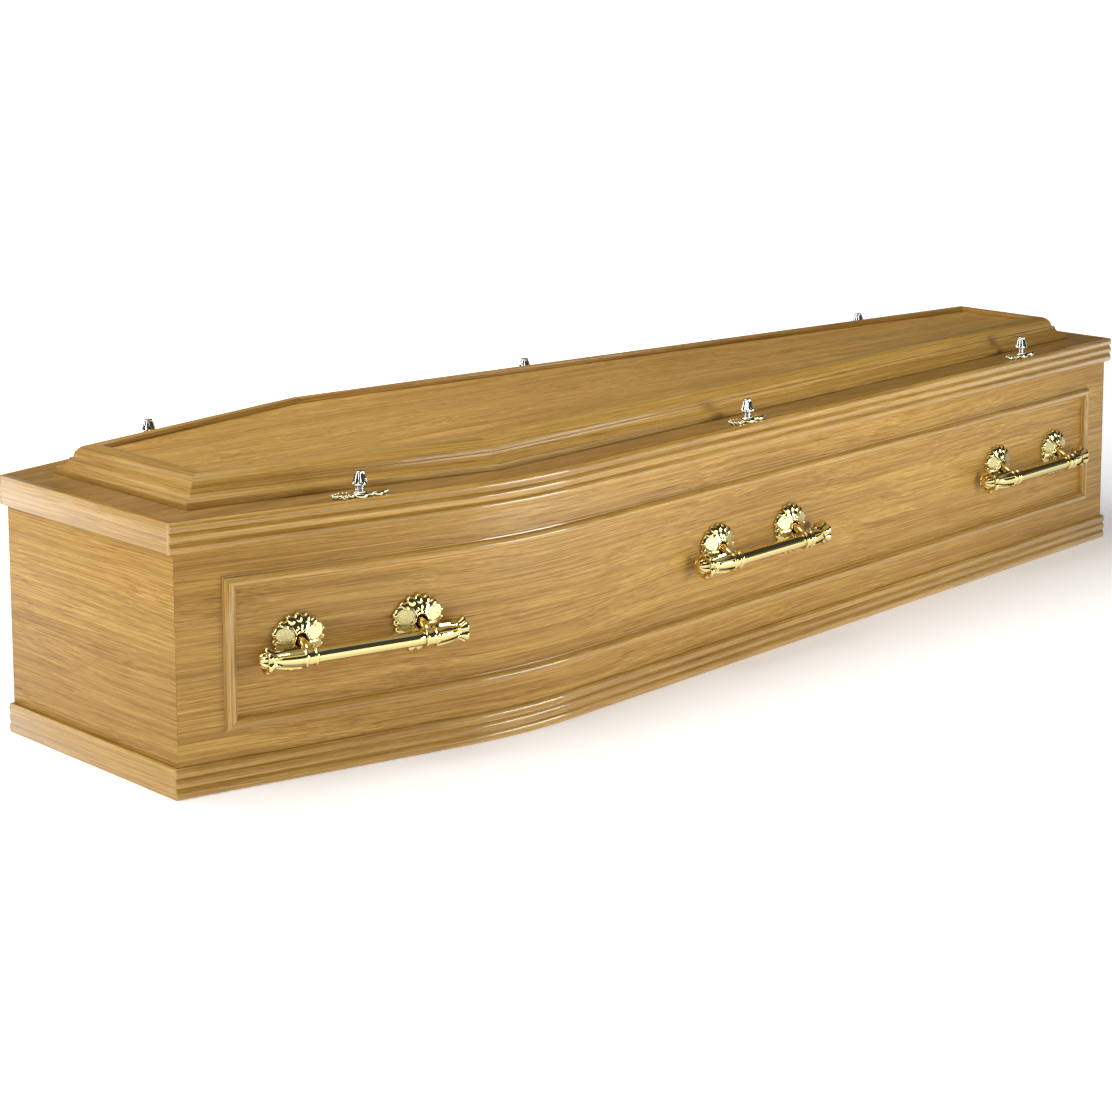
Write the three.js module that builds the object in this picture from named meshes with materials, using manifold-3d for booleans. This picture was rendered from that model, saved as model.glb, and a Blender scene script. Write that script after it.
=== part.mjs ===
// Wooden coffin with a bent shoulder, a lift-off raised lid and brass-coloured fittings.
// Millimetres, +Z up. The head end is at -X, the foot end at +X, the left side at +Y.
// The origin lies on the floor under the middle of the coffin.

import * as THREE from "three";
import { mergeVertices } from "three/addons/utils/BufferGeometryUtils.js";
import Module from "manifold-3d";

const wasm = await Module();
wasm.setup();

// Body
const BODY_LENGTH = 1890;
const HEAD_WIDTH = 367;
const SHOULDER_WIDTH = 561; // where the straight runs of the sides would meet
const FOOT_WIDTH = 313;
const SHOULDER_FROM_HEAD = 467;
const SHOULDER_RADIUS = 640;
const BODY_HEIGHT = 321;
const WALL_THICKNESS = 16;
const FLOOR_THICKNESS = 18;

// Lid
const LID_THICKNESS = 18;
const LID_OVERHANG = 8; // from the body's face to the lid moulding's face
const LID_CLEARANCE = 1; // between the body and the moulding that hangs beside it
const LID_MOULDING_HEIGHT = 38.4;

// Three-reed moulding round the base
const BASE_MOULDING_HEIGHT = 38.4;
const BASE_MOULDING_THICKNESS = 5.2;
const REED_COUNT = 3;
const REED_DEPTH = 3.4;

// Mitred bead frame on each side
const BEAD_WIDTH = 17;
const BEAD_DEPTH = 9;
const BEAD_FILLET = 1.6;
const BEAD_FROM_HEAD = 61;
const BEAD_FROM_FOOT = 55;
const BEAD_MARGIN = 35.6; // from the base moulding below and from the lid moulding above

// Raised frame and panel on the lid
const RAISED_MARGIN = 56; // from the lid's outer face to the foot of the raised frame
const RAISED_HEIGHT = 36.5;
const RAIL_WIDTH = 45;
const RAIL_FILLET_HEIGHT = 10;
const COVE_WIDTH = 14;
const COVE_HEIGHT = 20.5;
const STEP_WIDTH = 4;
const RAIL_TOP_WIDTH = 10;
const PANEL_RECESS = 7;
const PANEL_THICKNESS = 6;
const GROOVE_DEPTH = 7;

// Where the handles and thumbscrews stand along the length
const FITTINGS_A_SIDE = 3;
const HANDLE_FROM_HEAD = 237;
const HANDLE_FROM_FOOT = 241;
const SCREW_FROM_HEAD = 246;
const SCREW_FROM_FOOT = 246;
const SCREW_MIDDLE_SHIFT = -7; // of the middle thumbscrew, from half way towards the foot

// Bar handle
const HANDLE_DROP = 9.5; // the bar's axis below the middle of the bead frame
const BAR_STANDOFF = 31; // from the body's face to the bar's axis
const BAR_RADIUS = 9.4;
const BAR_NECK_RADIUS = 8.4;
const ARM_SPACING = 165;
const COLLAR_RADIUS = 13;
const COLLAR_WIDTH = 18;
const FINIAL_RIM_RADIUS = 17.5;
const FINIAL_RIM_FROM_ARM = 53;
const FINIAL_LENGTH = 19;
const FINIAL_DOME = 9;
const FINIAL_CAP_RADIUS = 10;
const FINIAL_CAP_HEIGHT = 6.3;
const FINIAL_SWEEP = 10; // how far the finials lean back towards the body
const PETAL_COUNT = 6;
const PETAL_DEPTH = 0.13; // share of the radius

// Back plate of a handle
const PLATE_ABOVE_BAR = 12;
const PLATE_THICKNESS = 5;
const PLATE_TAPER = 0.86; // the face's size as a share of the back's
const FEATHER_REACH = 38;
const FEATHER_NOTCH_REACH = 28;
const FEATHER_COUNT = 5;
const FEATHER_FAN = 78; // degrees between the outermost feathers
const WING_REACH = 34;
const TAIL_REACH = 37;
const ARM_RADIUS = 5;
const ARM_ABOVE_PLATE_MIDDLE = 3;
const ARM_BEND_FROM_BAR = 9.5;

// Thumbscrew and its plate
const SCREW_HEAD_RADIUS = 9.4;
const SCREW_WAIST_RADIUS = 8.3;
const SCREW_TOP_RADIUS = 5;
const SCREW_RIM_HEIGHT = 1.6;
const SCREW_WAIST_HEIGHT = 7.2;
const SCREW_HEAD_HEIGHT = 17;
const SCREW_NECK_RADIUS = 5.6;
const SCREW_NECK_HEIGHT = 10;
const SCREW_FLUTE_COUNT = 8;
const SCREW_FLUTE_DEPTH = 0.12; // share of the radius
const SHANK_RADIUS = 3;
const SHANK_DEPTH_IN_WALL = 25;
const SCREW_PLATE_LENGTH = 76;
const SCREW_PLATE_WIDTH = 23;
const SCREW_PLATE_TIP_WIDTH = 2.8;
const SCREW_PLATE_THICKNESS = 4.5;
const SCREW_PLATE_SAMPLES = 14;

// Clearances
const JOINT_GAP = 0.3; // between pieces that touch
const MITRE_RELIEF = 0.25; // how far each mitred end stands back
const HOLE_CLEARANCE = 0.6; // round a screw's shank

// Fineness of the curves
const BEND_STEPS = 6;
const REED_STEPS = 4;
const BEAD_STEPS = 6;
const CURVE_STEPS = 4;
const HOLE_SIDES = 8;
const ARM_SIDES = 6;
const ARM_STEPS = 3;

// Heights that follow from the sizes above
const lidBottom = BODY_HEIGHT + JOINT_GAP;
const lidTop = lidBottom + LID_THICKNESS;
const raisedBottom = lidTop + JOINT_GAP;
const lidMouldingBottom = lidTop - LID_MOULDING_HEIGHT;
const beadBottom = BASE_MOULDING_HEIGHT + BEAD_MARGIN;
const beadTop = lidMouldingBottom - BEAD_MARGIN;
const barHeight = (beadBottom + beadTop) / 2 - HANDLE_DROP;

// Materials
const oak = { color: 0xb8873f, roughness: 0.45, metalness: 0 };
const paleOak = { color: 0xc09a5c, roughness: 0.5, metalness: 0 };
const oakMoulding = { color: 0xc4953f, roughness: 0.42, metalness: 0 };
const insideOak = { color: 0xa98754, roughness: 0.75, metalness: 0 };
const brass = { color: 0xd9bf62, roughness: 0.22, metalness: 1 };
const chrome = { color: 0xe4e4e0, roughness: 0.15, metalness: 1 };

const coffin = new THREE.Group();

function addPiece(name, geometry, look, parent = coffin) {
  const piece = new THREE.Mesh(geometry, new THREE.MeshStandardMaterial(look));
  piece.name = name;
  parent.add(piece);
  return piece;
}

// Plan of the left side: two straight runs that a bend of constant radius joins
const headCorner = new THREE.Vector2(-BODY_LENGTH / 2, HEAD_WIDTH / 2);
const shoulder = new THREE.Vector2(-BODY_LENGTH / 2 + SHOULDER_FROM_HEAD, SHOULDER_WIDTH / 2);
const footCorner = new THREE.Vector2(BODY_LENGTH / 2, FOOT_WIDTH / 2);
const headRun = shoulder.clone().sub(headCorner).normalize();
const footRun = footCorner.clone().sub(shoulder).normalize();
const outwardOf = (run) => new THREE.Vector2(-run.y, run.x);
const headNormal = outwardOf(headRun);
const footNormal = outwardOf(footRun);
const mitreNormal = headNormal.clone().add(footNormal).divideScalar(1 + headNormal.dot(footNormal));
const bendCentre = shoulder.clone().addScaledVector(mitreNormal, -SHOULDER_RADIUS);
const STATIONS = BEND_STEPS + 2;

// A point at a distance along a run from its corner, set outwards from the body's face
function pointOnRun(corner, run, out, distance) {
  return corner.clone().addScaledVector(outwardOf(run), out).addScaledVector(run, distance);
}

// The point of a run, set outwards, that lies at a given x
function runAtX(corner, run, out, x) {
  const start = pointOnRun(corner, run, out, 0);
  return start.addScaledVector(run, (x - start.x) / run.x);
}

function bendPoint(out, step) {
  const angle = THREE.MathUtils.lerp(headNormal.angle(), footNormal.angle(), step / BEND_STEPS);
  const radius = SHOULDER_RADIUS + out;
  return new THREE.Vector2(Math.cos(angle), Math.sin(angle)).multiplyScalar(radius).add(bendCentre);
}

// How a strip along the side ends: flush at an x, mitred round the body's corner,
// or mitred within the side at a distance from its corner
const flushHead = (x) => (out) => runAtX(headCorner, headRun, out, x);
const flushFoot = (x) => (out) => runAtX(footCorner, footRun, out, x);
const corneredHead = (out) => runAtX(headCorner, headRun, out, headCorner.x - out);
const corneredFoot = (out) => runAtX(footCorner, footRun, out, footCorner.x + out);
const mitredHead = (inset, edge) => (out, height) =>
  pointOnRun(headCorner, headRun, out, inset + MITRE_RELIEF + Math.abs(height - edge));
const mitredFoot = (inset, edge) => (out, height) =>
  pointOnRun(footCorner, footRun, out, -inset - MITRE_RELIEF - Math.abs(height - edge));

// Moves every vertex of a geometry by a function of its position
function warp(geometry, move) {
  const position = geometry.getAttribute("position");
  const point = new THREE.Vector3();
  for (let i = 0; i < position.count; i++) {
    point.fromBufferAttribute(position, i);
    const moved = move(point);
    position.setXYZ(i, moved.x, moved.y, moved.z);
  }
  geometry.computeVertexNormals();
  return geometry;
}

// A section of (out, height) points led along the left side from head to foot
function alongSide(section, headEnd, footEnd) {
  const strip = new THREE.ExtrudeGeometry(section, { depth: 1, steps: STATIONS, bevelEnabled: false });
  return warp(strip, (point) => {
    const station = Math.round(point.z * STATIONS);
    let plan = bendPoint(point.x, station - 1);
    if (station === 0) plan = headEnd(point.x, point.y);
    if (station === STATIONS) plan = footEnd(point.x, point.y);
    return new THREE.Vector3(plan.x, plan.y, point.y);
  });
}

// The same shape on the other side of the coffin's middle plane
function mirrored(geometry) {
  const copy = geometry.clone().scale(1, -1, 1);
  const position = copy.getAttribute("position");
  const second = new THREE.Vector3();
  const third = new THREE.Vector3();
  for (let i = 0; i < position.count; i += 3) {
    second.fromBufferAttribute(position, i + 1);
    third.fromBufferAttribute(position, i + 2);
    position.setXYZ(i + 1, third.x, third.y, third.z);
    position.setXYZ(i + 2, second.x, second.y, second.z);
  }
  copy.computeVertexNormals();
  return copy;
}

function addPair(name, geometry, look) {
  addPiece(`${name}_left`, geometry, look);
  addPiece(`${name}_right`, mirrored(geometry), look);
}

// The corners of a round section
function circlePoints(centre, radius, sides) {
  const points = [];
  for (let side = 0; side < sides; side++) {
    const angle = (side / sides) * 2 * Math.PI;
    points.push(new THREE.Vector2(Math.cos(angle), Math.sin(angle)).multiplyScalar(radius).add(centre));
  }
  return points;
}

const polygon = (points) => new THREE.Shape(points.map(([x, y]) => new THREE.Vector2(x, y)));
const rectangle = (x0, y0, x1, y1) => polygon([[x0, y0], [x1, y0], [x1, y1], [x0, y1]]);

function slab(shape, bottom, thickness) {
  const geometry = new THREE.ExtrudeGeometry(shape, { depth: thickness, bevelEnabled: false });
  return geometry.translate(0, 0, bottom);
}

// The coffin's plan set outwards from the body's face and ending at two x values
function planOutline(out, headX, footX) {
  const left = [flushHead(headX)(out)];
  for (let step = 0; step <= BEND_STEPS; step++) left.push(bendPoint(out, step));
  left.push(flushFoot(footX)(out));
  const right = left.map((point) => new THREE.Vector2(point.x, -point.y)).reverse();
  return new THREE.Shape([...left, ...right]);
}

// Places of the handles and thumbscrews along the length
function spreadX(index, fromHead, fromFoot) {
  const spacing = (BODY_LENGTH - fromHead - fromFoot) / (FITTINGS_A_SIDE - 1);
  return -BODY_LENGTH / 2 + fromHead + index * spacing;
}
const handleX = (index) => spreadX(index, HANDLE_FROM_HEAD, HANDLE_FROM_FOOT);
const screwShift = (index) => (index > 0 && index < FITTINGS_A_SIDE - 1 ? SCREW_MIDDLE_SHIFT : 0);
const screwX = (index) => spreadX(index, SCREW_FROM_HEAD, SCREW_FROM_FOOT) + screwShift(index);

// The point of the left side above an x, set outwards, and the direction of the side there
function sidePlace(x, out) {
  const bendStart = bendPoint(0, 0).x;
  const bendEnd = bendPoint(0, BEND_STEPS).x;
  let normal = x < bendStart ? headNormal : footNormal;
  let face = x < bendStart ? runAtX(headCorner, headRun, 0, x) : runAtX(footCorner, footRun, 0, x);
  if (x >= bendStart && x <= bendEnd) {
    const angle = Math.acos((x - bendCentre.x) / SHOULDER_RADIUS);
    normal = new THREE.Vector2(Math.cos(angle), Math.sin(angle));
    face = bendCentre.clone().addScaledVector(normal, SHOULDER_RADIUS);
  }
  return { point: face.addScaledVector(normal, out), angle: normal.angle() - Math.PI / 2 };
}

// Holes for the screws' shanks, which go down into the middle of the wall
const holeRadius = SHANK_RADIUS + HOLE_CLEARANCE;
const screwOut = -WALL_THICKNESS / 2;
const screwPlace = (index) => sidePlace(screwX(index), screwOut);

const roundHole = (centre) => new THREE.Path(circlePoints(centre, holeRadius, HOLE_SIDES));

// Solids for joining and cutting
function toSolid(geometry) {
  const bare = geometry.clone();
  bare.deleteAttribute("normal");
  bare.deleteAttribute("uv");
  const merged = mergeVertices(bare, 1e-4);
  const vertProperties = new Float32Array(merged.getAttribute("position").array);
  const triVerts = new Uint32Array(merged.getIndex().array);
  return new wasm.Manifold(new wasm.Mesh({ numProp: 3, vertProperties, triVerts }));
}

function fromSolid(solid) {
  const mesh = solid.getMesh();
  const indexed = new THREE.BufferGeometry();
  indexed.setAttribute("position", new THREE.BufferAttribute(mesh.vertProperties, 3));
  indexed.setIndex(new THREE.BufferAttribute(mesh.triVerts, 1));
  const geometry = indexed.toNonIndexed();
  geometry.computeVertexNormals();
  return geometry;
}

// Body
function bodySide() {
  const section = rectangle(-WALL_THICKNESS, 0, 0, BODY_HEIGHT);
  let wall = toSolid(alongSide(section, corneredHead, corneredFoot));
  for (let index = 0; index < FITTINGS_A_SIDE; index++) {
    const place = screwPlace(index).point;
    const depth = SHANK_DEPTH_IN_WALL + HOLE_CLEARANCE;
    const drill = new THREE.CylinderGeometry(holeRadius, holeRadius, 2 * depth, HOLE_SIDES);
    drill.rotateX(Math.PI / 2).translate(place.x, place.y, BODY_HEIGHT);
    wall = wall.subtract(toSolid(drill));
  }
  return fromSolid(wall);
}

// An end board, mitred to the two sides
function endBoard(cornered) {
  const gap = new THREE.Vector2(0, JOINT_GAP * Math.SQRT2);
  const outer = cornered(0).sub(gap);
  const inner = cornered(-WALL_THICKNESS).sub(gap);
  const shape = polygon([[outer.x, outer.y], [inner.x, inner.y], [inner.x, -inner.y], [outer.x, -outer.y]]);
  return slab(shape, 0, BODY_HEIGHT);
}

function addBody() {
  const wallAndGap = WALL_THICKNESS + JOINT_GAP;
  const insideX = BODY_LENGTH / 2 - wallAndGap;
  addPiece("floor_board", slab(planOutline(-wallAndGap, -insideX, insideX), 0, FLOOR_THICKNESS), insideOak);
  addPair("side_panel", bodySide(), oak);
  addPiece("end_panel_head", endBoard(corneredHead), oak);
  addPiece("end_panel_foot", endBoard(corneredFoot), oak);
}

// Section of the reeded moulding: a flat back and a face of equal half-round reeds
function reededSection(back, face, bottom, height) {
  const root = face - REED_DEPTH;
  const pitch = height / REED_COUNT;
  const radius = (pitch * pitch / 4 + REED_DEPTH * REED_DEPTH) / (2 * REED_DEPTH);
  const halfAngle = Math.asin(pitch / 2 / radius);
  const points = [[back, bottom + height], [back, bottom], [root, bottom]];
  for (let reed = 0; reed < REED_COUNT; reed++) {
    for (let step = 1; step <= REED_STEPS; step++) {
      const angle = THREE.MathUtils.lerp(-halfAngle, halfAngle, step / REED_STEPS);
      const out = face - radius + radius * Math.cos(angle);
      points.push([out, bottom + (reed + 0.5) * pitch + radius * Math.sin(angle)]);
    }
  }
  return polygon(points);
}

// A plain strip across an end, between the backs of the two side mouldings
function endStrip(corner, run, back, thickness, bottom, height) {
  const side = Math.sign(corner.x);
  const innerX = corner.x + side * back;
  const outerX = corner.x + side * (back + thickness);
  const inner = runAtX(corner, run, back - JOINT_GAP, innerX).y;
  const outer = runAtX(corner, run, back - JOINT_GAP, outerX).y;
  const shape = polygon([[innerX, -inner], [outerX, -outer], [outerX, outer], [innerX, inner]]);
  return slab(shape, bottom, height);
}

function addBaseMouldings() {
  const face = BASE_MOULDING_THICKNESS;
  const end = BODY_LENGTH / 2 + face;
  const section = reededSection(JOINT_GAP, face, 0, BASE_MOULDING_HEIGHT);
  addPair("base_moulding", alongSide(section, flushHead(-end), flushFoot(end)), oakMoulding);
  for (const [name, corner, run] of [["head", headCorner, headRun], ["foot", footCorner, footRun]]) {
    const thickness = face - JOINT_GAP;
    const strip = endStrip(corner, run, JOINT_GAP, thickness, 0, BASE_MOULDING_HEIGHT);
    addPiece(`base_strip_${name}`, strip, oakMoulding);
  }
}

// Bead section: a half-round between two narrow flats, as (across, out) points
function beadPoints() {
  const roundWidth = BEAD_WIDTH - 2 * BEAD_FILLET;
  const root = JOINT_GAP + BEAD_FILLET;
  const points = [[BEAD_WIDTH, root], [BEAD_WIDTH, JOINT_GAP], [0, JOINT_GAP], [0, root]];
  for (let step = 0; step <= BEAD_STEPS; step++) {
    const angle = Math.PI * (1 - step / BEAD_STEPS);
    const across = BEAD_WIDTH / 2 + (roundWidth / 2) * Math.cos(angle);
    points.push([across, root + (BEAD_DEPTH - BEAD_FILLET) * Math.sin(angle)]);
  }
  return points;
}

// A bead that runs along the side, with its outer edge at a height
function longBead(outerEdge, upwards) {
  const section = polygon(beadPoints().map(([across, out]) => [out, outerEdge + upwards * across]));
  return alongSide(section, mitredHead(BEAD_FROM_HEAD, outerEdge), mitredFoot(BEAD_FROM_FOOT, outerEdge));
}

// An upright bead at an end of the side's frame
function uprightBead(corner, run, inset) {
  const towardsMiddle = -Math.sign(corner.x);
  const section = polygon(beadPoints().map(([across, out]) => [towardsMiddle * (inset + across), out]));
  const bead = new THREE.ExtrudeGeometry(section, { depth: 1, bevelEnabled: false });
  return warp(bead, (point) => {
    const plan = pointOnRun(corner, run, point.y, point.x);
    const across = Math.abs(point.x) - inset + MITRE_RELIEF;
    const height = THREE.MathUtils.lerp(beadBottom + across, beadTop - across, point.z);
    return new THREE.Vector3(plan.x, plan.y, height);
  });
}

function addBeadFrames() {
  addPair("panel_bead_top", longBead(beadTop, -1), oakMoulding);
  addPair("panel_bead_bottom", longBead(beadBottom, 1), oakMoulding);
  addPair("panel_bead_head", uprightBead(headCorner, headRun, BEAD_FROM_HEAD), oakMoulding);
  addPair("panel_bead_foot", uprightBead(footCorner, footRun, BEAD_FROM_FOOT), oakMoulding);
}

// Lid
function addLid() {
  const boardOut = LID_CLEARANCE - JOINT_GAP;
  const boardEnd = BODY_LENGTH / 2 + boardOut;
  const outline = planOutline(boardOut, -boardEnd, boardEnd);
  for (let index = 0; index < FITTINGS_A_SIDE; index++) {
    const place = screwPlace(index).point;
    outline.holes.push(roundHole(place), roundHole(new THREE.Vector2(place.x, -place.y)));
  }
  addPiece("lid_board", slab(outline, lidBottom, LID_THICKNESS), oak);

  const end = BODY_LENGTH / 2 + LID_OVERHANG;
  const bottom = lidMouldingBottom;
  const section = reededSection(LID_CLEARANCE, LID_OVERHANG, bottom, LID_MOULDING_HEIGHT);
  addPair("lid_edge_moulding", alongSide(section, flushHead(-end), flushFoot(end)), oakMoulding);
  for (const [name, corner, run] of [["head", headCorner, headRun], ["foot", footCorner, footRun]]) {
    const thickness = LID_OVERHANG - LID_CLEARANCE;
    const strip = endStrip(corner, run, LID_CLEARANCE, thickness, bottom, LID_MOULDING_HEIGHT);
    addPiece(`lid_strip_${name}`, strip, oakMoulding);
  }
}

// Raised frame. Its corners as functions of the distance inwards from its foot.
const raisedOut = LID_OVERHANG - RAISED_MARGIN;
const raisedEnd = BODY_LENGTH / 2 + raisedOut;
const raisedHead = (inset) => runAtX(headCorner, headRun, raisedOut - inset, -raisedEnd + inset);
const raisedShoulder = (inset) => shoulder.clone().addScaledVector(mitreNormal, raisedOut - inset);
const raisedFoot = (inset) => runAtX(footCorner, footRun, raisedOut - inset, raisedEnd - inset);
const onRight = (corner) => (inset) => corner(inset).multiply(new THREE.Vector2(1, -1));

// Section of a rail: fillet, cove, step and quarter round outside, panel groove inside
function railSection() {
  const nose = RAIL_FILLET_HEIGHT / 5;
  const points = [[0, 0], [0, RAIL_FILLET_HEIGHT - nose], [nose, RAIL_FILLET_HEIGHT]];
  for (let step = 1; step <= CURVE_STEPS; step++) {
    const angle = (step / CURVE_STEPS) * (Math.PI / 2);
    const inset = nose + (COVE_WIDTH - nose) * Math.sin(angle);
    points.push([inset, COVE_HEIGHT - (COVE_HEIGHT - RAIL_FILLET_HEIGHT) * Math.cos(angle)]);
  }
  const roundStart = COVE_WIDTH + STEP_WIDTH;
  const roundEnd = RAIL_WIDTH - RAIL_TOP_WIDTH;
  for (let step = 0; step <= CURVE_STEPS; step++) {
    const angle = (step / CURVE_STEPS) * (Math.PI / 2);
    const inset = roundEnd - (roundEnd - roundStart) * Math.cos(angle);
    points.push([inset, COVE_HEIGHT + (RAISED_HEIGHT - COVE_HEIGHT) * Math.sin(angle)]);
  }
  const grooveTop = RAISED_HEIGHT - PANEL_RECESS;
  const grooveBottom = grooveTop - PANEL_THICKNESS;
  const grooveInset = RAIL_WIDTH - GROOVE_DEPTH;
  points.push([RAIL_WIDTH, RAISED_HEIGHT], [RAIL_WIDTH, grooveTop], [grooveInset, grooveTop]);
  points.push([grooveInset, grooveBottom], [RAIL_WIDTH, grooveBottom], [RAIL_WIDTH, 0]);
  return polygon(points);
}

function rail(startCorner, endCorner) {
  const length = new THREE.ExtrudeGeometry(railSection(), { depth: 1, bevelEnabled: false });
  const run = endCorner(0).sub(startCorner(0)).normalize();
  return warp(length, (point) => {
    const atStart = point.z < 0.5;
    const plan = atStart ? startCorner(point.x) : endCorner(point.x);
    plan.addScaledVector(run, atStart ? MITRE_RELIEF : -MITRE_RELIEF);
    return new THREE.Vector3(plan.x, plan.y, raisedBottom + point.y);
  });
}

function addRaisedPanel() {
  const rightHead = onRight(raisedHead);
  const rightShoulder = onRight(raisedShoulder);
  const rightFoot = onRight(raisedFoot);
  addPiece("raised_frame_right_head", rail(rightHead, rightShoulder), oakMoulding);
  addPiece("raised_frame_right_foot", rail(rightShoulder, rightFoot), oakMoulding);
  addPiece("raised_frame_foot", rail(rightFoot, raisedFoot), oakMoulding);
  addPiece("raised_frame_left_foot", rail(raisedFoot, raisedShoulder), oakMoulding);
  addPiece("raised_frame_left_head", rail(raisedShoulder, raisedHead), oakMoulding);
  addPiece("raised_frame_head", rail(raisedHead, rightHead), oakMoulding);

  const edge = RAIL_WIDTH - GROOVE_DEPTH + JOINT_GAP;
  const corners = [rightHead, rightShoulder, rightFoot, raisedFoot, raisedShoulder, raisedHead];
  const outline = new THREE.Shape(corners.map((corner) => corner(edge)));
  const bottom = raisedBottom + RAISED_HEIGHT - PANEL_RECESS - PANEL_THICKNESS + JOINT_GAP;
  addPiece("raised_panel", slab(outline, bottom, PANEL_THICKNESS - 2 * JOINT_GAP), paleOak);
}

// Handle, in its own frame: x along the side, -y away from the body, z up,
// with y = 0 on the body's face and z = 0 at the height of the bar's axis
const armX = ARM_SPACING / 2;
const rimX = armX + FINIAL_RIM_FROM_ARM;
const neckX = rimX - FINIAL_LENGTH;
const collarInner = armX - COLLAR_WIDTH / 2;
const collarOuter = armX + COLLAR_WIDTH / 2;

// Half of the bar's profile as (distance from the middle, radius)
function barProfile() {
  const chamfer = (COLLAR_RADIUS - BAR_RADIUS) / 2;
  return [
    [collarInner, BAR_RADIUS],
    [collarInner + chamfer, COLLAR_RADIUS],
    [collarOuter - chamfer, COLLAR_RADIUS],
    [collarOuter, BAR_RADIUS],
    [neckX, BAR_NECK_RADIUS],
    [(neckX + rimX) / 2, (BAR_NECK_RADIUS + FINIAL_RIM_RADIUS) / 2],
    [rimX, FINIAL_RIM_RADIUS],
    [rimX + FINIAL_CAP_HEIGHT, FINIAL_CAP_RADIUS],
    [rimX + FINIAL_DOME, 0],
  ];
}

// How far the bar leans towards the body at a distance from its middle
function barSweep(distance) {
  const share = Math.max(distance - collarOuter, 0) / (rimX - collarOuter);
  return FINIAL_SWEEP * share * share;
}

function handleBar() {
  const half = barProfile();
  const rows = [...half.map(([x, radius]) => [-x, radius]).reverse(), ...half];
  const sides = 2 * PETAL_COUNT;
  const bar = new THREE.LatheGeometry(rows.map(([x, radius]) => new THREE.Vector2(radius, x)), sides);
  return warp(bar.toNonIndexed(), (point) => {
    const distance = Math.abs(point.y);
    const side = Math.round((Math.atan2(point.x, point.z) / (2 * Math.PI)) * sides);
    const onPetals = distance > neckX + 1 && distance < rimX + 1;
    const share = onPetals && side % 2 !== 0 ? 1 - PETAL_DEPTH : 1;
    const y = -BAR_STANDOFF + barSweep(distance) + point.x * share;
    return new THREE.Vector3(-point.y, y, point.z * share);
  });
}

// Outline of the cast plate: feathers above, a wing at each side and a scalloped tail below
function plateOutline() {
  const points = [];
  const addPolar = (degrees, reach) => {
    const angle = THREE.MathUtils.degToRad(degrees);
    points.push([reach * Math.sin(angle), reach * Math.cos(angle)]);
  };
  const step = FEATHER_FAN / (FEATHER_COUNT - 1);
  for (let feather = 0; feather < FEATHER_COUNT; feather++) {
    const tip = -FEATHER_FAN / 2 + feather * step;
    addPolar(tip, FEATHER_REACH);
    if (feather < FEATHER_COUNT - 1) addPolar(tip + step / 2, FEATHER_NOTCH_REACH);
  }
  // Lobes as degrees from the top and a share of the reach
  const wing = [[50, 0.92], [60, 1.1], [80, 1], [96, 0.9], [110, 0.68]];
  const tail = [[130, 1], [146, 1.02], [157, 0.88], [170, 1]];
  for (const [degrees, share] of wing) addPolar(degrees, share * WING_REACH);
  for (const [degrees, share] of tail) addPolar(degrees, share * TAIL_REACH);
  for (const [degrees, share] of [...tail].reverse()) addPolar(-degrees, share * TAIL_REACH);
  for (const [degrees, share] of [...wing].reverse()) addPolar(-degrees, share * WING_REACH);
  return polygon(points);
}

// One back plate with the arm that reaches out to the bar's collar.
// The plate is drawn upright and extruded along -y, with its edges sloping in towards the face.
function backPlate() {
  const plate = new THREE.ExtrudeGeometry(plateOutline(), { depth: 1, bevelEnabled: false });
  warp(plate, (point) => {
    const share = THREE.MathUtils.lerp(1, PLATE_TAPER, point.z);
    const y = -THREE.MathUtils.lerp(JOINT_GAP, PLATE_THICKNESS, point.z);
    return new THREE.Vector3(point.x * share, y, PLATE_ABOVE_BAR + point.y * share);
  });

  const armHeight = PLATE_ABOVE_BAR + ARM_ABOVE_PLATE_MIDDLE;
  const root = new THREE.Vector3(0, -PLATE_THICKNESS / 2, armHeight);
  const bow = new THREE.Vector3(0, ARM_BEND_FROM_BAR - BAR_STANDOFF, armHeight);
  const axis = new THREE.Vector3(0, -BAR_STANDOFF, 0);
  const extrudePath = new THREE.QuadraticBezierCurve3(root, bow, axis);
  const section = new THREE.Shape(circlePoints(new THREE.Vector2(), ARM_RADIUS, ARM_SIDES));
  const arm = new THREE.ExtrudeGeometry(section, { steps: ARM_STEPS, bevelEnabled: false, extrudePath });
  const seatRadius = COLLAR_RADIUS + JOINT_GAP;
  const seat = new THREE.CylinderGeometry(seatRadius, seatRadius, 4 * ARM_RADIUS, 2 * PETAL_COUNT);
  seat.rotateZ(Math.PI / 2).translate(0, -BAR_STANDOFF, 0);
  return fromSolid(toSolid(plate).add(toSolid(arm)).subtract(toSolid(seat)));
}

function addHandles() {
  const bar = handleBar();
  const plate = backPlate();
  for (let index = 0; index < FITTINGS_A_SIDE; index++) {
    const { point, angle } = sidePlace(handleX(index), 0);
    for (const side of ["left", "right"]) {
      const onLeft = side === "left";
      const handle = new THREE.Group();
      handle.position.set(point.x, onLeft ? point.y : -point.y, barHeight);
      handle.rotation.z = onLeft ? angle + Math.PI : -angle;
      coffin.add(handle);
      const name = `handle_${side}_${index + 1}`;
      addPiece(`${name}_bar`, bar, brass, handle);
      const towardsHead = onLeft ? 1 : -1;
      addPiece(`${name}_plate_headward`, plate, brass, handle).position.x = towardsHead * armX;
      addPiece(`${name}_plate_footward`, plate, brass, handle).position.x = -towardsHead * armX;
    }
  }
}

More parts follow.
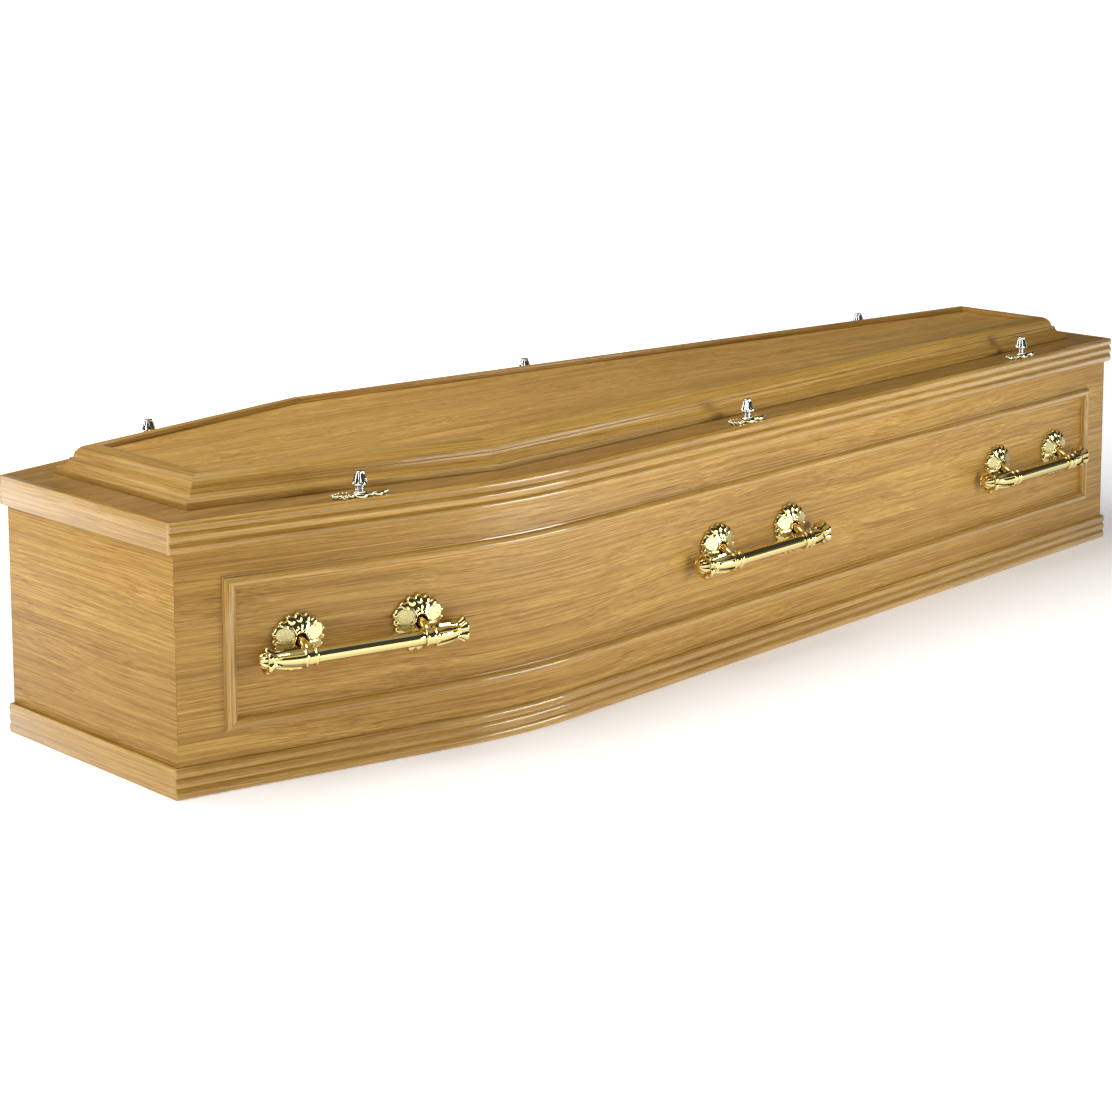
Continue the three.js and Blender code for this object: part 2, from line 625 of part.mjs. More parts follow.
// Thumbscrew and its plate, in their own frame: x along the side, z = 0 on the lid
function thumbscrew() {
  const seat = SCREW_PLATE_THICKNESS + JOINT_GAP;
  const neckTop = seat + SCREW_NECK_HEIGHT;
  const top = neckTop + SCREW_HEAD_HEIGHT;
  const tip = BODY_HEIGHT - SHANK_DEPTH_IN_WALL - lidTop - JOINT_GAP;
  const profile = [
    [0, tip],
    [SHANK_RADIUS, tip],
    [SHANK_RADIUS, seat],
    [SCREW_NECK_RADIUS, seat],
    [SCREW_NECK_RADIUS, neckTop],
    [SCREW_HEAD_RADIUS, neckTop + SCREW_RIM_HEIGHT],
    [SCREW_WAIST_RADIUS, neckTop + SCREW_WAIST_HEIGHT],
    [SCREW_TOP_RADIUS, top],
    [0, top],
  ];
  const sides = 2 * SCREW_FLUTE_COUNT;
  const points = profile.map(([radius, height]) => new THREE.Vector2(radius, height));
  const screw = new THREE.LatheGeometry(points, sides).rotateX(Math.PI / 2).toNonIndexed();
  return warp(screw, (point) => {
    const side = Math.round((Math.atan2(point.y, point.x) / (2 * Math.PI)) * sides);
    const onFlutes = point.z > neckTop + 0.01 && side % 2 !== 0;
    const share = onFlutes ? 1 - SCREW_FLUTE_DEPTH : 1;
    return new THREE.Vector3(point.x * share, point.y * share, point.z);
  });
}

// Outline of the screw's plate: a row of round lobes along its length
function screwPlateOutline() {
  const length = SCREW_PLATE_LENGTH / 2;
  const width = SCREW_PLATE_WIDTH / 2;
  // Centre as a share of half the length, radius as a share of half the width
  const lobes = [[0, 1], [0.4, 0.62], [0.7, 0.85], [0.9, 0.33]];
  const halfWidth = (x) => {
    const reaches = lobes.map(([centre, radius]) => {
      const fromCentre = Math.abs(x) - centre * length;
      return Math.sqrt(Math.max((radius * width) ** 2 - fromCentre ** 2, 0));
    });
    return Math.max(...reaches, SCREW_PLATE_TIP_WIDTH / 2);
  };
  const near = [];
  for (let sample = 0; sample <= SCREW_PLATE_SAMPLES; sample++) {
    const x = THREE.MathUtils.lerp(-length, length, sample / SCREW_PLATE_SAMPLES);
    near.push([x, -halfWidth(x)]);
  }
  const far = near.map(([x, y]) => [x, -y]).reverse();
  const outline = polygon([...near, ...far]);
  outline.holes.push(roundHole(new THREE.Vector2(0, 0)));
  return outline;
}

function addThumbscrews() {
  const screw = thumbscrew();
  const plate = slab(screwPlateOutline(), 0, SCREW_PLATE_THICKNESS);
  for (let index = 0; index < FITTINGS_A_SIDE; index++) {
    const { point, angle } = screwPlace(index);
    for (const side of ["left", "right"]) {
      const onLeft = side === "left";
      const place = new THREE.Group();
      place.position.set(point.x, onLeft ? point.y : -point.y, lidTop + JOINT_GAP);
      place.rotation.z = onLeft ? angle : -angle;
      coffin.add(place);
      addPiece(`thumbscrew_${side}_${index + 1}`, screw, chrome, place);
      addPiece(`screw_plate_${side}_${index + 1}`, plate, brass, place);
    }
  }
}

addBody();
addBaseMouldings();
addBeadFrames();
addLid();
addRaisedPanel();
addHandles();
addThumbscrews();

export default coffin;
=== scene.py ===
# Looks of a wooden coffin: oak boards and mouldings, brass handles and chrome thumbscrews.
# Metres, +Z up. The head end is at -X, the foot end at +X. The near side of the picture is at -Y.
import math

import bpy
import numpy as np
from mathutils import Matrix, Vector


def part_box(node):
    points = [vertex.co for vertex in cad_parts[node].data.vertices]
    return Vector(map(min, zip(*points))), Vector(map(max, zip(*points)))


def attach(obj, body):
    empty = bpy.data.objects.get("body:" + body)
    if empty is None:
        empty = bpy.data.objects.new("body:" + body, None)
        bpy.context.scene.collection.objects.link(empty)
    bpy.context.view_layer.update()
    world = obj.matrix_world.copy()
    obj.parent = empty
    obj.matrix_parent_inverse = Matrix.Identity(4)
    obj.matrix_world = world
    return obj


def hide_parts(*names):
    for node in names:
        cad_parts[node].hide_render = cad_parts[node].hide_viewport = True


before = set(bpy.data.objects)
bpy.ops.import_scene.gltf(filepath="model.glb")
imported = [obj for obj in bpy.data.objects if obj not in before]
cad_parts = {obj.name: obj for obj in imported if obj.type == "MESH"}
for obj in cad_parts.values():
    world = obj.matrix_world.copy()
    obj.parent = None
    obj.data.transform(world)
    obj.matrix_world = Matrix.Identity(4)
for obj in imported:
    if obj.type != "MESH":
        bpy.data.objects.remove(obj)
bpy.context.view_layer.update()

# Camera, fitted to the photograph's perspective
CAMERA_PLACE = Vector((-2.678, -2.709, 1.055))
CAMERA_YAW = 47.06  # degrees
CAMERA_PITCH = -8.63
CAMERA_ROLL = 0.18
CAMERA_LENS = 85.51
SENSOR_WIDTH = 36.0
CAMERA_SHIFT_Y = -0.225

# Plan of the body
side_low, side_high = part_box("side_panel_left")
BODY_LENGTH = side_high.x - side_low.x
BODY_HEIGHT = side_high.z
HEAD_WIDTH = 0.367
SHOULDER_WIDTH = 0.561
FOOT_WIDTH = 0.313
SHOULDER_FROM_HEAD = 0.467
SHOULDER_RADIUS = 0.640
WALL_THICKNESS = 0.016

# Mouldings
LID_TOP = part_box("lid_board")[1].z
LID_OVERHANG = 0.008
LID_CLEARANCE = 0.001
BASE_THICKNESS = 0.0052
REED_COUNT = 3
REED_DEPTH = 0.0034
BEAD_WIDTH = 0.017
BEAD_DEPTH = 0.009
BEAD_FILLET = 0.0016
BEAD_FROM_HEAD = 0.061
BEAD_FROM_FOOT = 0.055

# Raised frame on the lid
RAISED_MARGIN = 0.056
RAISED_BOTTOM, RAISED_TOP = (corner.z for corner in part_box("raised_frame_head"))
RAISED_HEIGHT = RAISED_TOP - RAISED_BOTTOM
RAIL_WIDTH = 0.045
RAIL_FILLET_HEIGHT = 0.010
RAIL_NOSE = 0.004  # round on the fillet's upper edge
COVE_WIDTH = 0.014
COVE_HEIGHT = 0.0205
STEP_WIDTH = 0.004
RAIL_TOP_WIDTH = 0.010
PANEL_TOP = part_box("raised_panel")[1].z
PANEL_LAP = 0.006  # of the rails over the panel's edge
PANEL_GAP = 0.0002

# Fineness
BEND_STEPS = 28
REED_STEPS = 12
ROUND_STEPS = 14

# Edges and gaps
BOARD_EDGE = 0.0007  # how far a board's edges are softened
REED_EDGE = 0.0004
BEAD_EDGE = 0.0002
RAIL_EDGE = 0.0003
SOFTENED_ANGLE = 40  # degrees between faces, from which an edge is softened
BOARD_CREASE = 32  # degrees between faces, from which an edge stays sharp
RAIL_CREASE = 28
CAST_CREASE = 50
BACK_GAP = 0.0001  # between a piece's back and what it lies on
TIP_RADIUS = 0.00005  # of the ring that closes a rounded end

# Fittings
FITTINGS_A_SIDE = 3
HANDLE_FROM_HEAD = 0.237
HANDLE_FROM_FOOT = 0.241
SCREW_FROM_HEAD = 0.246
SCREW_FROM_FOOT = 0.246
SCREW_MIDDLE_SHIFT = -0.007

# Bar handle
bar_low, bar_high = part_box("handle_right_2_bar")
BAR_HEIGHT = (bar_low.z + bar_high.z) / 2
BAR_STANDOFF = 0.031
BAR_RADIUS = 0.0094
BAR_NECK_RADIUS = 0.0084
BAR_REEDS = 22
REED_RELIEF = 0.00022
ARM_SPACING = 0.165
COLLAR_RADIUS = 0.013
COLLAR_WIDTH = 0.018
RING_HALF_WIDTH = 0.0022
BARREL_RADIUS = 0.0112
BARREL_HALF_WIDTH = 0.0080
FINIAL_RIM_RADIUS = 0.0178
FINIAL_RIM_FROM_ARM = 0.053
FINIAL_DOME = 0.009
FINIAL_BOSS = 0.60  # share of the rim's radius
FINIAL_SWEEP = 0.010
TUBE_SWELL = 0.0018  # beside the collar
SWELL_RUN = (0.0, 0.75)  # as shares of the way from the collar to the rim
NECK_RUN = (0.4, 0.8)
TRUMPET_RUN = (0.70, 1.0)
PETAL_COUNT = 6
PETAL_DEPTH = 0.0032
SEPAL_HEIGHT = 0.0026
SEPAL_LENGTH = 0.016
SEPAL_FROM_RIM = 0.004
BAR_SIDES = 96
STRAIGHT_ROWS = 6
COLLAR_ROWS = 40
FINIAL_ROWS = 64
DOME_STEPS = 12

# Back plate of a handle
PLATE_ABOVE_BAR = 0.012
PLATE_SIDES = 288
PLATE_RINGS = 40
ARM_RADIUS = 0.0052
ARM_TURN = 0.75  # where the arm's curve turns up to the bar, as a share of the bar's standoff
ARM_STEPS = 14
ARM_SIDES = 20

# Thumbscrew
SCREW_HEAD_RADIUS = 0.0098
SCREW_HEAD_HEIGHT = 0.0172
SCREW_NECK_RADIUS = 0.0062
SCREW_NECK_HEIGHT = 0.010
SCREW_NECK_RIBS = 4
SCREW_FOOT = 1.25  # share of the neck's radius
SCREW_SEAT = 0.002  # height of the foot's disc
SCREW_FLUTES = 9
SCREW_FLUTE_DEPTH = 0.20  # share of the radius
SCREW_FLUTE_SPAN = (0.07, 0.93)  # as shares of the head's height
SCREW_BELL = (  # radius and height, as shares of the head's
    (0.55, 0.00), (0.84, 0.00), (0.93, 0.025), (0.985, 0.07), (1.00, 0.11), (0.975, 0.18), (0.935, 0.26),
    (0.89, 0.35), (0.84, 0.45), (0.79, 0.55), (0.735, 0.65), (0.685, 0.74), (0.64, 0.82), (0.60, 0.89),
    (0.575, 0.93),
)
SCREW_TOP = ((0.0056, 0.0006), (0.0055, 0.0002), (0.0052, 0.0), (0.0001, 0.0))  # radius and depth

# Plate of a thumbscrew
SCREW_PLATE_LENGTH = 0.076
SCREW_PLATE_WIDTH = 0.023
SCREW_PLATE_THICKNESS = 0.0045
SCREW_PLATE_BAR = 0.0026  # half width between the lobes
SCREW_PLATE_LOBES = ((0.0, 1.0), (0.36, 0.55), (0.62, 0.80), (0.86, 0.42))  # place and radius, as shares
SCREW_PLATE_CROWN = (  # inset and height of the face's rings, as shares
    (1.0, 0.35), (0.985, 0.62), (0.95, 0.84), (0.88, 0.97), (0.78, 1.0), (0.5, 1.02), (0.1, 1.03),
)
SCREW_PLATE_STEPS = 121
SCREW_PLATE_BEAD_PITCH = 0.0052
SCREW_PLATE_BEAD_RADIUS = 0.0023
SCREW_PLATE_BEAD_HEIGHT = 0.0030
SCREW_PLATE_BEADED_FROM = 0.4  # share of half the length, towards the head end
BOSS_RADIUS = 0.0092
BOSS_HEIGHT = 0.0014  # above the plate
BOSS_SIDES = 40


# Plan of the left side
def flat(x, y):
    return np.array([x, y], float)


HEAD_CORNER = flat(-BODY_LENGTH / 2, HEAD_WIDTH / 2)
SHOULDER = flat(-BODY_LENGTH / 2 + SHOULDER_FROM_HEAD, SHOULDER_WIDTH / 2)
FOOT_CORNER = flat(BODY_LENGTH / 2, FOOT_WIDTH / 2)
HEAD_RUN = (SHOULDER - HEAD_CORNER) / np.linalg.norm(SHOULDER - HEAD_CORNER)
FOOT_RUN = (FOOT_CORNER - SHOULDER) / np.linalg.norm(FOOT_CORNER - SHOULDER)
HEAD_NORMAL = flat(-HEAD_RUN[1], HEAD_RUN[0])
FOOT_NORMAL = flat(-FOOT_RUN[1], FOOT_RUN[0])
MITRE_NORMAL = (HEAD_NORMAL + FOOT_NORMAL) / (1 + HEAD_NORMAL @ FOOT_NORMAL)
BEND_CENTRE = SHOULDER - MITRE_NORMAL * SHOULDER_RADIUS
HEAD_ANGLE = math.atan2(HEAD_NORMAL[1], HEAD_NORMAL[0])
FOOT_ANGLE = math.atan2(FOOT_NORMAL[1], FOOT_NORMAL[0])


def run_at_x(corner, run, out, x):
    """The point of a straight run, set outwards, that lies at a given x."""
    start = corner + out * flat(-run[1], run[0])
    return start + run * (x - start[0]) / run[0]


def bend_point(out, step):
    angle = HEAD_ANGLE + (FOOT_ANGLE - HEAD_ANGLE) * step / BEND_STEPS
    return BEND_CENTRE + (SHOULDER_RADIUS + out) * flat(math.cos(angle), math.sin(angle))


def flush_head(x):
    return lambda out, height: run_at_x(HEAD_CORNER, HEAD_RUN, out, x)


def flush_foot(x):
    return lambda out, height: run_at_x(FOOT_CORNER, FOOT_RUN, out, x)


def cornered_head(out, height):
    return run_at_x(HEAD_CORNER, HEAD_RUN, out, HEAD_CORNER[0] - out)


def cornered_foot(out, height):
    return run_at_x(FOOT_CORNER, FOOT_RUN, out, FOOT_CORNER[0] + out)


def mitred_head(inset, edge):
    return lambda out, height: HEAD_CORNER + out * HEAD_NORMAL + HEAD_RUN * (inset + abs(height - edge))


def mitred_foot(inset, edge):
    return lambda out, height: FOOT_CORNER + out * FOOT_NORMAL - FOOT_RUN * (inset + abs(height - edge))


def spread_x(index, from_head, from_foot):
    spacing = (BODY_LENGTH - from_head - from_foot) / (FITTINGS_A_SIDE - 1)
    return -BODY_LENGTH / 2 + from_head + index * spacing


def handle_x(index):
    return spread_x(index, HANDLE_FROM_HEAD, HANDLE_FROM_FOOT)


def screw_x(index):
    shift = SCREW_MIDDLE_SHIFT if 0 < index < FITTINGS_A_SIDE - 1 else 0
    return spread_x(index, SCREW_FROM_HEAD, SCREW_FROM_FOOT) + shift


def side_place(x, out):
    """The point of the left side at an x, set outwards, and the turn of the side there."""
    on_head_run = x < bend_point(0, 0)[0]
    corner, run = (HEAD_CORNER, HEAD_RUN) if on_head_run else (FOOT_CORNER, FOOT_RUN)
    normal = HEAD_NORMAL if on_head_run else FOOT_NORMAL
    point = run_at_x(corner, run, 0, x) + out * normal
    return point, math.atan2(run[1], run[0])


# Making pieces
GRAIN_SHIFT = (0.83, 0.37, 0.21)  # from one piece's place in the grain to the next one's
piece_count = 0


def shade(mesh, angle):
    """Smooth shading, with creases where faces meet at more than an angle in degrees."""
    mesh.polygons.foreach_set("use_smooth", [True] * len(mesh.polygons))
    mesh.set_sharp_from_angle(angle=math.radians(angle))


def add_piece(node, kind, vertices, faces, slot, grain=None, edge=0.0, crease=BOARD_CREASE, look=None):
    """A piece that stands for a node, with its grain coordinates and softened edges."""
    global piece_count
    piece_count += 1
    name = f"{node}_{kind}"
    mesh = bpy.data.meshes.new(name)
    mesh.from_pydata([tuple(v) for v in vertices], [], faces)
    mesh.update()
    if grain is not None:
        shift = np.array(GRAIN_SHIFT) * piece_count
        attribute = mesh.attributes.new("grain", "FLOAT_VECTOR", "POINT")
        attribute.data.foreach_set("vector", (np.asarray(grain) + shift).ravel())
    piece = bpy.data.objects.new(name, mesh)
    bpy.context.scene.collection.objects.link(piece)
    if edge:
        bevel = piece.modifiers.new("soft edges", "BEVEL")
        bevel.width = edge
        bevel.segments = 2
        bevel.limit_method = "ANGLE"
        bevel.angle_limit = math.radians(SOFTENED_ANGLE)
        bevel.harden_normals = False
        bpy.context.view_layer.objects.active = piece
        with bpy.context.temp_override(object=piece):
            bpy.ops.object.modifier_apply(modifier=bevel.name)
    shade(piece.data, crease)
    piece.data.materials.append(materials[look or slot])
    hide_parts(node)
    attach(piece, "root")
    return piece


def volume(vertices, faces):
    """The volume inside a closed skin, below zero where its faces look inwards."""
    total = 0.0
    for face in faces:
        for second, third in zip(face[1:], face[2:]):
            total += vertices[face[0]].dot(vertices[second].cross(vertices[third]))
    return total / 6


def loft(rings):
    """Vertices and faces of a closed skin over rings of points, with flat caps, looking outwards."""
    count = len(rings[0])
    vertices = [point for ring in rings for point in ring]
    faces = []
    for r in range(len(rings) - 1):
        for i in range(count):
            j = (i + 1) % count
            faces.append((r * count + i, r * count + j, (r + 1) * count + j, (r + 1) * count + i))
    faces.append(tuple(reversed(range(count))))
    faces.append(tuple(range((len(rings) - 1) * count, len(rings) * count)))
    if volume(vertices, faces) < 0:
        faces = [tuple(reversed(face)) for face in faces]
    return vertices, faces


def circle(sides):
    """Equal turns round a circle, in radians."""
    return [k / sides * 2 * math.pi for k in range(sides)]


def along_side(section, head_end, foot_end):
    """Rings of an (out, height) section led along the left side, and their grain coordinates."""
    rings, grain = [], []
    distance = 0.0
    previous = None
    for station in range(BEND_STEPS + 3):
        ring = []
        for out, height in section:
            if station == 0:
                plan = head_end(out, height)
            elif station == BEND_STEPS + 2:
                plan = foot_end(out, height)
            else:
                plan = bend_point(out, station - 1)
            ring.append(Vector((plan[0], plan[1], height)))
        if previous is not None:
            distance += (ring[0] - previous).length
        previous = ring[0]
        rings.append(ring)
        for (out, height), point in zip(section, ring):
            offset = (point - ring[0]).to_2d().length if station in (0, BEND_STEPS + 2) else 0.0
            sign = 1 if station == 0 else -1
            grain.append((distance + sign * offset, height, out))
    return rings, grain


def add_side_pair(name, section, head_end, foot_end, slot, edge=BOARD_EDGE):
    """A section led along the left side, and its mirrored copy on the right side."""
    rings, grain = along_side(section, head_end, foot_end)
    for side, sign in (("left", 1), ("right", -1)):
        turned = [[Vector((p.x, sign * p.y, p.z)) for p in ring] for ring in rings]
        add_piece(f"{name}_{side}", "oak", *loft(turned), slot, grain, edge)


def add_cross_board(name, corners, bottom, top, slot):
    """A flat board on a plan polygon, with its grain across the coffin."""
    vertices, faces = loft([[Vector((x, y, z)) for x, y in corners] for z in (bottom, top)])
    grain = [(vertex.y, vertex.z, vertex.x) for vertex in vertices]
    add_piece(name, "oak", vertices, faces, slot, grain, BOARD_EDGE)


# Materials
def node_tree(name):
    material = bpy.data.materials.new(name)
    material.use_nodes = True
    tree = material.node_tree
    tree.nodes.clear()
    output = tree.nodes.new("ShaderNodeOutputMaterial")
    shader = tree.nodes.new("ShaderNodeBsdfPrincipled")
    tree.links.new(shader.outputs["BSDF"], output.inputs["Surface"])
    return material, tree, shader


def noise(tree, coordinates, scale, detail=2.0, roughness=0.5, distortion=0.0):
    """Noise stretched by a different frequency along each grain axis."""
    mapping = tree.nodes.new("ShaderNodeMapping")
    mapping.inputs["Scale"].default_value = scale
    tree.links.new(coordinates, mapping.inputs["Vector"])
    texture = tree.nodes.new("ShaderNodeTexNoise")
    texture.inputs["Scale"].default_value = 1.0
    texture.inputs["Detail"].default_value = detail
    texture.inputs["Roughness"].default_value = roughness
    texture.inputs["Distortion"].default_value = distortion
    tree.links.new(mapping.outputs["Vector"], texture.inputs["Vector"])
    return texture.outputs["Fac"]


def ramp(tree, value, *stops):
    node = tree.nodes.new("ShaderNodeValToRGB")
    elements = node.color_ramp.elements
    while len(elements) < len(stops):
        elements.new(0.5)
    for element, (position, color) in zip(elements, stops):
        element.position = position
        element.color = (*color, 1.0)
    tree.links.new(value, node.inputs["Fac"])
    return node.outputs["Color"]


def grey(level):
    return (level, level, level)


def tint(tree, color, value, low, high):
    """A colour multiplied by a ramp over a value, between two stops of position and colour."""
    shades = ramp(tree, value, low, high)
    node = tree.nodes.new("ShaderNodeMix")
    node.data_type = "RGBA"
    node.blend_type = "MULTIPLY"
    node.inputs["Factor"].default_value = 1.0
    tree.links.new(color, node.inputs["A"])
    tree.links.new(shades, node.inputs["B"])
    return node.outputs["Result"]


def arithmetic(tree, kind, first, second):
    node = tree.nodes.new("ShaderNodeMath")
    node.operation = kind
    tree.links.new(first, node.inputs[0])
    if isinstance(second, (int, float)):
        node.inputs[1].default_value = second
    else:
        tree.links.new(second, node.inputs[1])
    return node.outputs["Value"]


# Layers of the oak's grain, in waves a metre along it and across it
WANDER = (1.6, 7.0, 7.0)
BANDS = (1.0, 60.0, 60.0)
STREAKS = (1.8, 380.0, 380.0)
THREADS = (6.0, 900.0, 900.0)
PORES = (14.0, 1000.0, 1000.0)
FLECKS = (90.0, 620.0, 620.0)
CLOUD = (1.4, 5.0, 5.0)

# How strongly the streaks change the gloss, and how deep they are beside the pores
STREAK_GLOSS = -0.16
STREAK_RELIEF = 0.6


def oak(name, light, dark, roughness, coat, figure, from_frame=False):
    """Varnished oak. The grain runs along the first grain axis; figure sets how strongly it waves."""
    material, tree, shader = node_tree(name)
    if from_frame:
        source = tree.nodes.new("ShaderNodeTexCoord").outputs["Object"]
    else:
        attribute = tree.nodes.new("ShaderNodeAttribute")
        attribute.attribute_name = "grain"
        source = attribute.outputs["Vector"]

    # slow wander of the growth lines across the board
    shifted = arithmetic(tree, "SUBTRACT", noise(tree, source, WANDER), 0.5)
    sideways = tree.nodes.new("ShaderNodeCombineXYZ")
    tree.links.new(shifted, sideways.inputs["Y"])
    tree.links.new(shifted, sideways.inputs["Z"])
    wandering = tree.nodes.new("ShaderNodeVectorMath")
    wandering.operation = "SCALE"
    wandering.inputs["Scale"].default_value = figure
    tree.links.new(sideways.outputs["Vector"], wandering.inputs[0])
    moved = tree.nodes.new("ShaderNodeVectorMath")
    moved.operation = "ADD"
    tree.links.new(source, moved.inputs[0])
    tree.links.new(wandering.outputs["Vector"], moved.inputs[1])
    coordinates = moved.outputs["Vector"]

    bands = noise(tree, coordinates, BANDS, detail=3.0, roughness=0.62)
    streaks = noise(tree, coordinates, STREAKS, detail=3.0, roughness=0.7)
    threads = noise(tree, coordinates, THREADS, roughness=0.7)
    pores = noise(tree, coordinates, PORES, detail=1.0)
    flecks = noise(tree, coordinates, FLECKS, distortion=0.4)
    cloud = noise(tree, coordinates, CLOUD, detail=1.0)

    color = ramp(tree, bands, (0.32, dark), (0.62, light))
    color = tint(tree, color, streaks, (0.37, (0.76, 0.69, 0.50)), (0.58, (1.07, 1.09, 1.12)))
    color = tint(tree, color, threads, (0.37, (0.81, 0.76, 0.62)), (0.60, (1.10, 1.12, 1.16)))
    color = tint(tree, color, pores, (0.28, (0.60, 0.48, 0.34)), (0.38, grey(1.0)))
    color = tint(tree, color, flecks, (0.40, grey(0.95)), (0.66, grey(1.07)))
    color = tint(tree, color, cloud, (0.30, (0.90, 0.87, 0.82)), (0.70, (1.05, 1.05, 1.04)))
    tree.links.new(color, shader.inputs["Base Color"])

    relief = arithmetic(tree, "ADD", arithmetic(tree, "MULTIPLY", streaks, STREAK_RELIEF), pores)
    bump = tree.nodes.new("ShaderNodeBump")
    bump.inputs["Strength"].default_value = 0.16
    bump.inputs["Distance"].default_value = 0.0005
    tree.links.new(relief, bump.inputs["Height"])
    tree.links.new(bump.outputs["Normal"], shader.inputs["Normal"])

    sheen = arithmetic(tree, "MULTIPLY", streaks, STREAK_GLOSS)
    gloss = arithmetic(tree, "ADD", sheen, roughness - STREAK_GLOSS / 2)
    tree.links.new(gloss, shader.inputs["Roughness"])
    shader.inputs["Specular IOR Level"].default_value = 0.35
    shader.inputs["Coat Weight"].default_value = coat
    shader.inputs["Coat Roughness"].default_value = 0.11
    return material


def metal(name, color, shade_color, roughness, stipple, stipple_scale):
    """Polished metal with painted shade in its hollows, darker where ambient occlusion finds them, and fine
    casting marks.
    """
    material, tree, shader = node_tree(name)
    source = tree.nodes.new("ShaderNodeTexCoord").outputs["Object"]
    # painted shade: the colour darkens towards shade_color where ambient occlusion finds the hollows
    cavity = tree.nodes.new("ShaderNodeAmbientOcclusion")
    cavity.inputs["Distance"].default_value = 0.004
    cavity.samples = 4
    tone = ramp(tree, cavity.outputs["AO"], (0.25, shade_color), (0.85, color))
    tree.links.new(tone, shader.inputs["Base Color"])
    marks = noise(tree, source, (stipple_scale,) * 3, detail=2.0)
    bump = tree.nodes.new("ShaderNodeBump")
    bump.inputs["Strength"].default_value = stipple
    bump.inputs["Distance"].default_value = 0.0003
    tree.links.new(marks, bump.inputs["Height"])
    tree.links.new(bump.outputs["Normal"], shader.inputs["Normal"])
    gloss = ramp(tree, marks, (0.3, grey(roughness * 0.7)), (0.7, grey(roughness * 1.3)))
    tree.links.new(gloss, shader.inputs["Roughness"])
    shader.inputs["Metallic"].default_value = 1.0
    return material


# For an oak: light and dark colour, roughness, coat, figure, and whether it grains a solid of the frame.
# For a metal: colour, colour of the painted shade in its hollows, roughness, and its marks' strength and
# waves a metre.
materials = {
    "oak": oak("oak", (0.560, 0.336, 0.084), (0.43, 0.240, 0.050), 0.47, 0.03, 0.035),
    "pale_oak": oak("pale oak", (0.68, 0.408, 0.120), (0.51, 0.284, 0.070), 0.46, 0.06, 0.10, True),
    "oak_moulding": oak("oak moulding", (0.60, 0.370, 0.090), (0.47, 0.270, 0.052), 0.38, 0.9, 0.02),
    "rail_oak": oak("rail oak", (0.55, 0.334, 0.082), (0.42, 0.235, 0.044), 0.50, 0.15, 0.02),
    # painted shade: a darker copy of the oak for the lid board, whose margin beside the raised frame lies in
    # shade
    "shaded_lid_oak": oak("shaded lid oak", (0.40, 0.232, 0.066), (0.31, 0.168, 0.040), 0.44, 0.12, 0.05, True),
    "inside_oak": oak("inside oak", (0.5, 0.33, 0.15), (0.42, 0.26, 0.1), 0.6, 0.05, 0.04, True),
    "brass": metal("brass", (0.83, 0.71, 0.32), (0.42, 0.26, 0.05), 0.075, 0.04, 900.0),
    "brass_stippled": metal("stippled brass", (0.68, 0.58, 0.27), (0.42, 0.26, 0.05), 0.30, 1.0, 700.0),
    "pale_brass": metal("pale brass", (0.76, 0.70, 0.46), (0.30, 0.22, 0.08), 0.07, 0.04, 900.0),
    "chrome": metal("chrome", (0.84, 0.82, 0.77), (0.25, 0.25, 0.24), 0.07, 0.02, 900.0),
}


# Boards
def add_body():
    wall = [(-WALL_THICKNESS, 0.0), (0.0, 0.0), (0.0, BODY_HEIGHT), (-WALL_THICKNESS, BODY_HEIGHT)]
    add_side_pair("side_panel", wall, cornered_head, cornered_foot, "oak")
    for name, cornered in (("end_panel_head", cornered_head), ("end_panel_foot", cornered_foot)):
        low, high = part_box(name)
        outer_x, outer_y = cornered(0.0, 0.0)
        inner_x, inner_y = cornered(-WALL_THICKNESS, 0.0)
        plan = [(outer_x, outer_y - BACK_GAP), (inner_x, inner_y - BACK_GAP)]
        plan += [(inner_x, BACK_GAP - inner_y), (outer_x, BACK_GAP - outer_y)]
        add_cross_board(name, plan, low.z, high.z, "oak")


def reeded_section(back, face, bottom, height):
    """A flat back and a face of equal rounded reeds, as (out, height) points."""
    root = face - REED_DEPTH
    pitch = height / REED_COUNT
    radius = (pitch * pitch / 4 + REED_DEPTH * REED_DEPTH) / (2 * REED_DEPTH)
    half_angle = math.asin(pitch / 2 / radius)
    points = [(back, bottom + height), (back, bottom), (root, bottom)]
    for reed in range(REED_COUNT):
        for step in range(1, REED_STEPS + 1):
            angle = half_angle * (2 * step / REED_STEPS - 1)
            out = face - radius + radius * math.cos(angle)
            points.append((out, bottom + (reed + 0.5) * pitch + radius * math.sin(angle)))
    return points


def add_edge_mouldings():
    for name, back, face in (
        ("base_moulding", BACK_GAP, BASE_THICKNESS),
        ("lid_edge_moulding", LID_CLEARANCE, LID_OVERHANG),
    ):
        low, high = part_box(f"{name}_left")
        end = BODY_LENGTH / 2 + face
        section = reeded_section(back, face, low.z, high.z - low.z)
        add_side_pair(name, section, flush_head(-end), flush_foot(end), "oak_moulding", REED_EDGE)

    for name in ("base_strip_head", "base_strip_foot", "lid_strip_head", "lid_strip_foot"):
        low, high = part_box(name)
        plan = [(low.x, low.y), (high.x, low.y), (high.x, high.y), (low.x, high.y)]
        add_cross_board(name, plan, low.z, high.z, "oak_moulding")


# Bead frames on the sides
def bead_points():
    """The bead's section as (across, out) points."""
    half_round = BEAD_WIDTH / 2 - BEAD_FILLET
    points = [(BEAD_WIDTH, BEAD_FILLET), (BEAD_WIDTH, BACK_GAP), (0.0, BACK_GAP), (0.0, BEAD_FILLET)]
    for step in range(ROUND_STEPS + 1):
        angle = math.pi * (1 - step / ROUND_STEPS)
        across = BEAD_WIDTH / 2 + half_round * math.cos(angle)
        points.append((across, BEAD_FILLET + (BEAD_DEPTH - BEAD_FILLET) * math.sin(angle)))
    return points


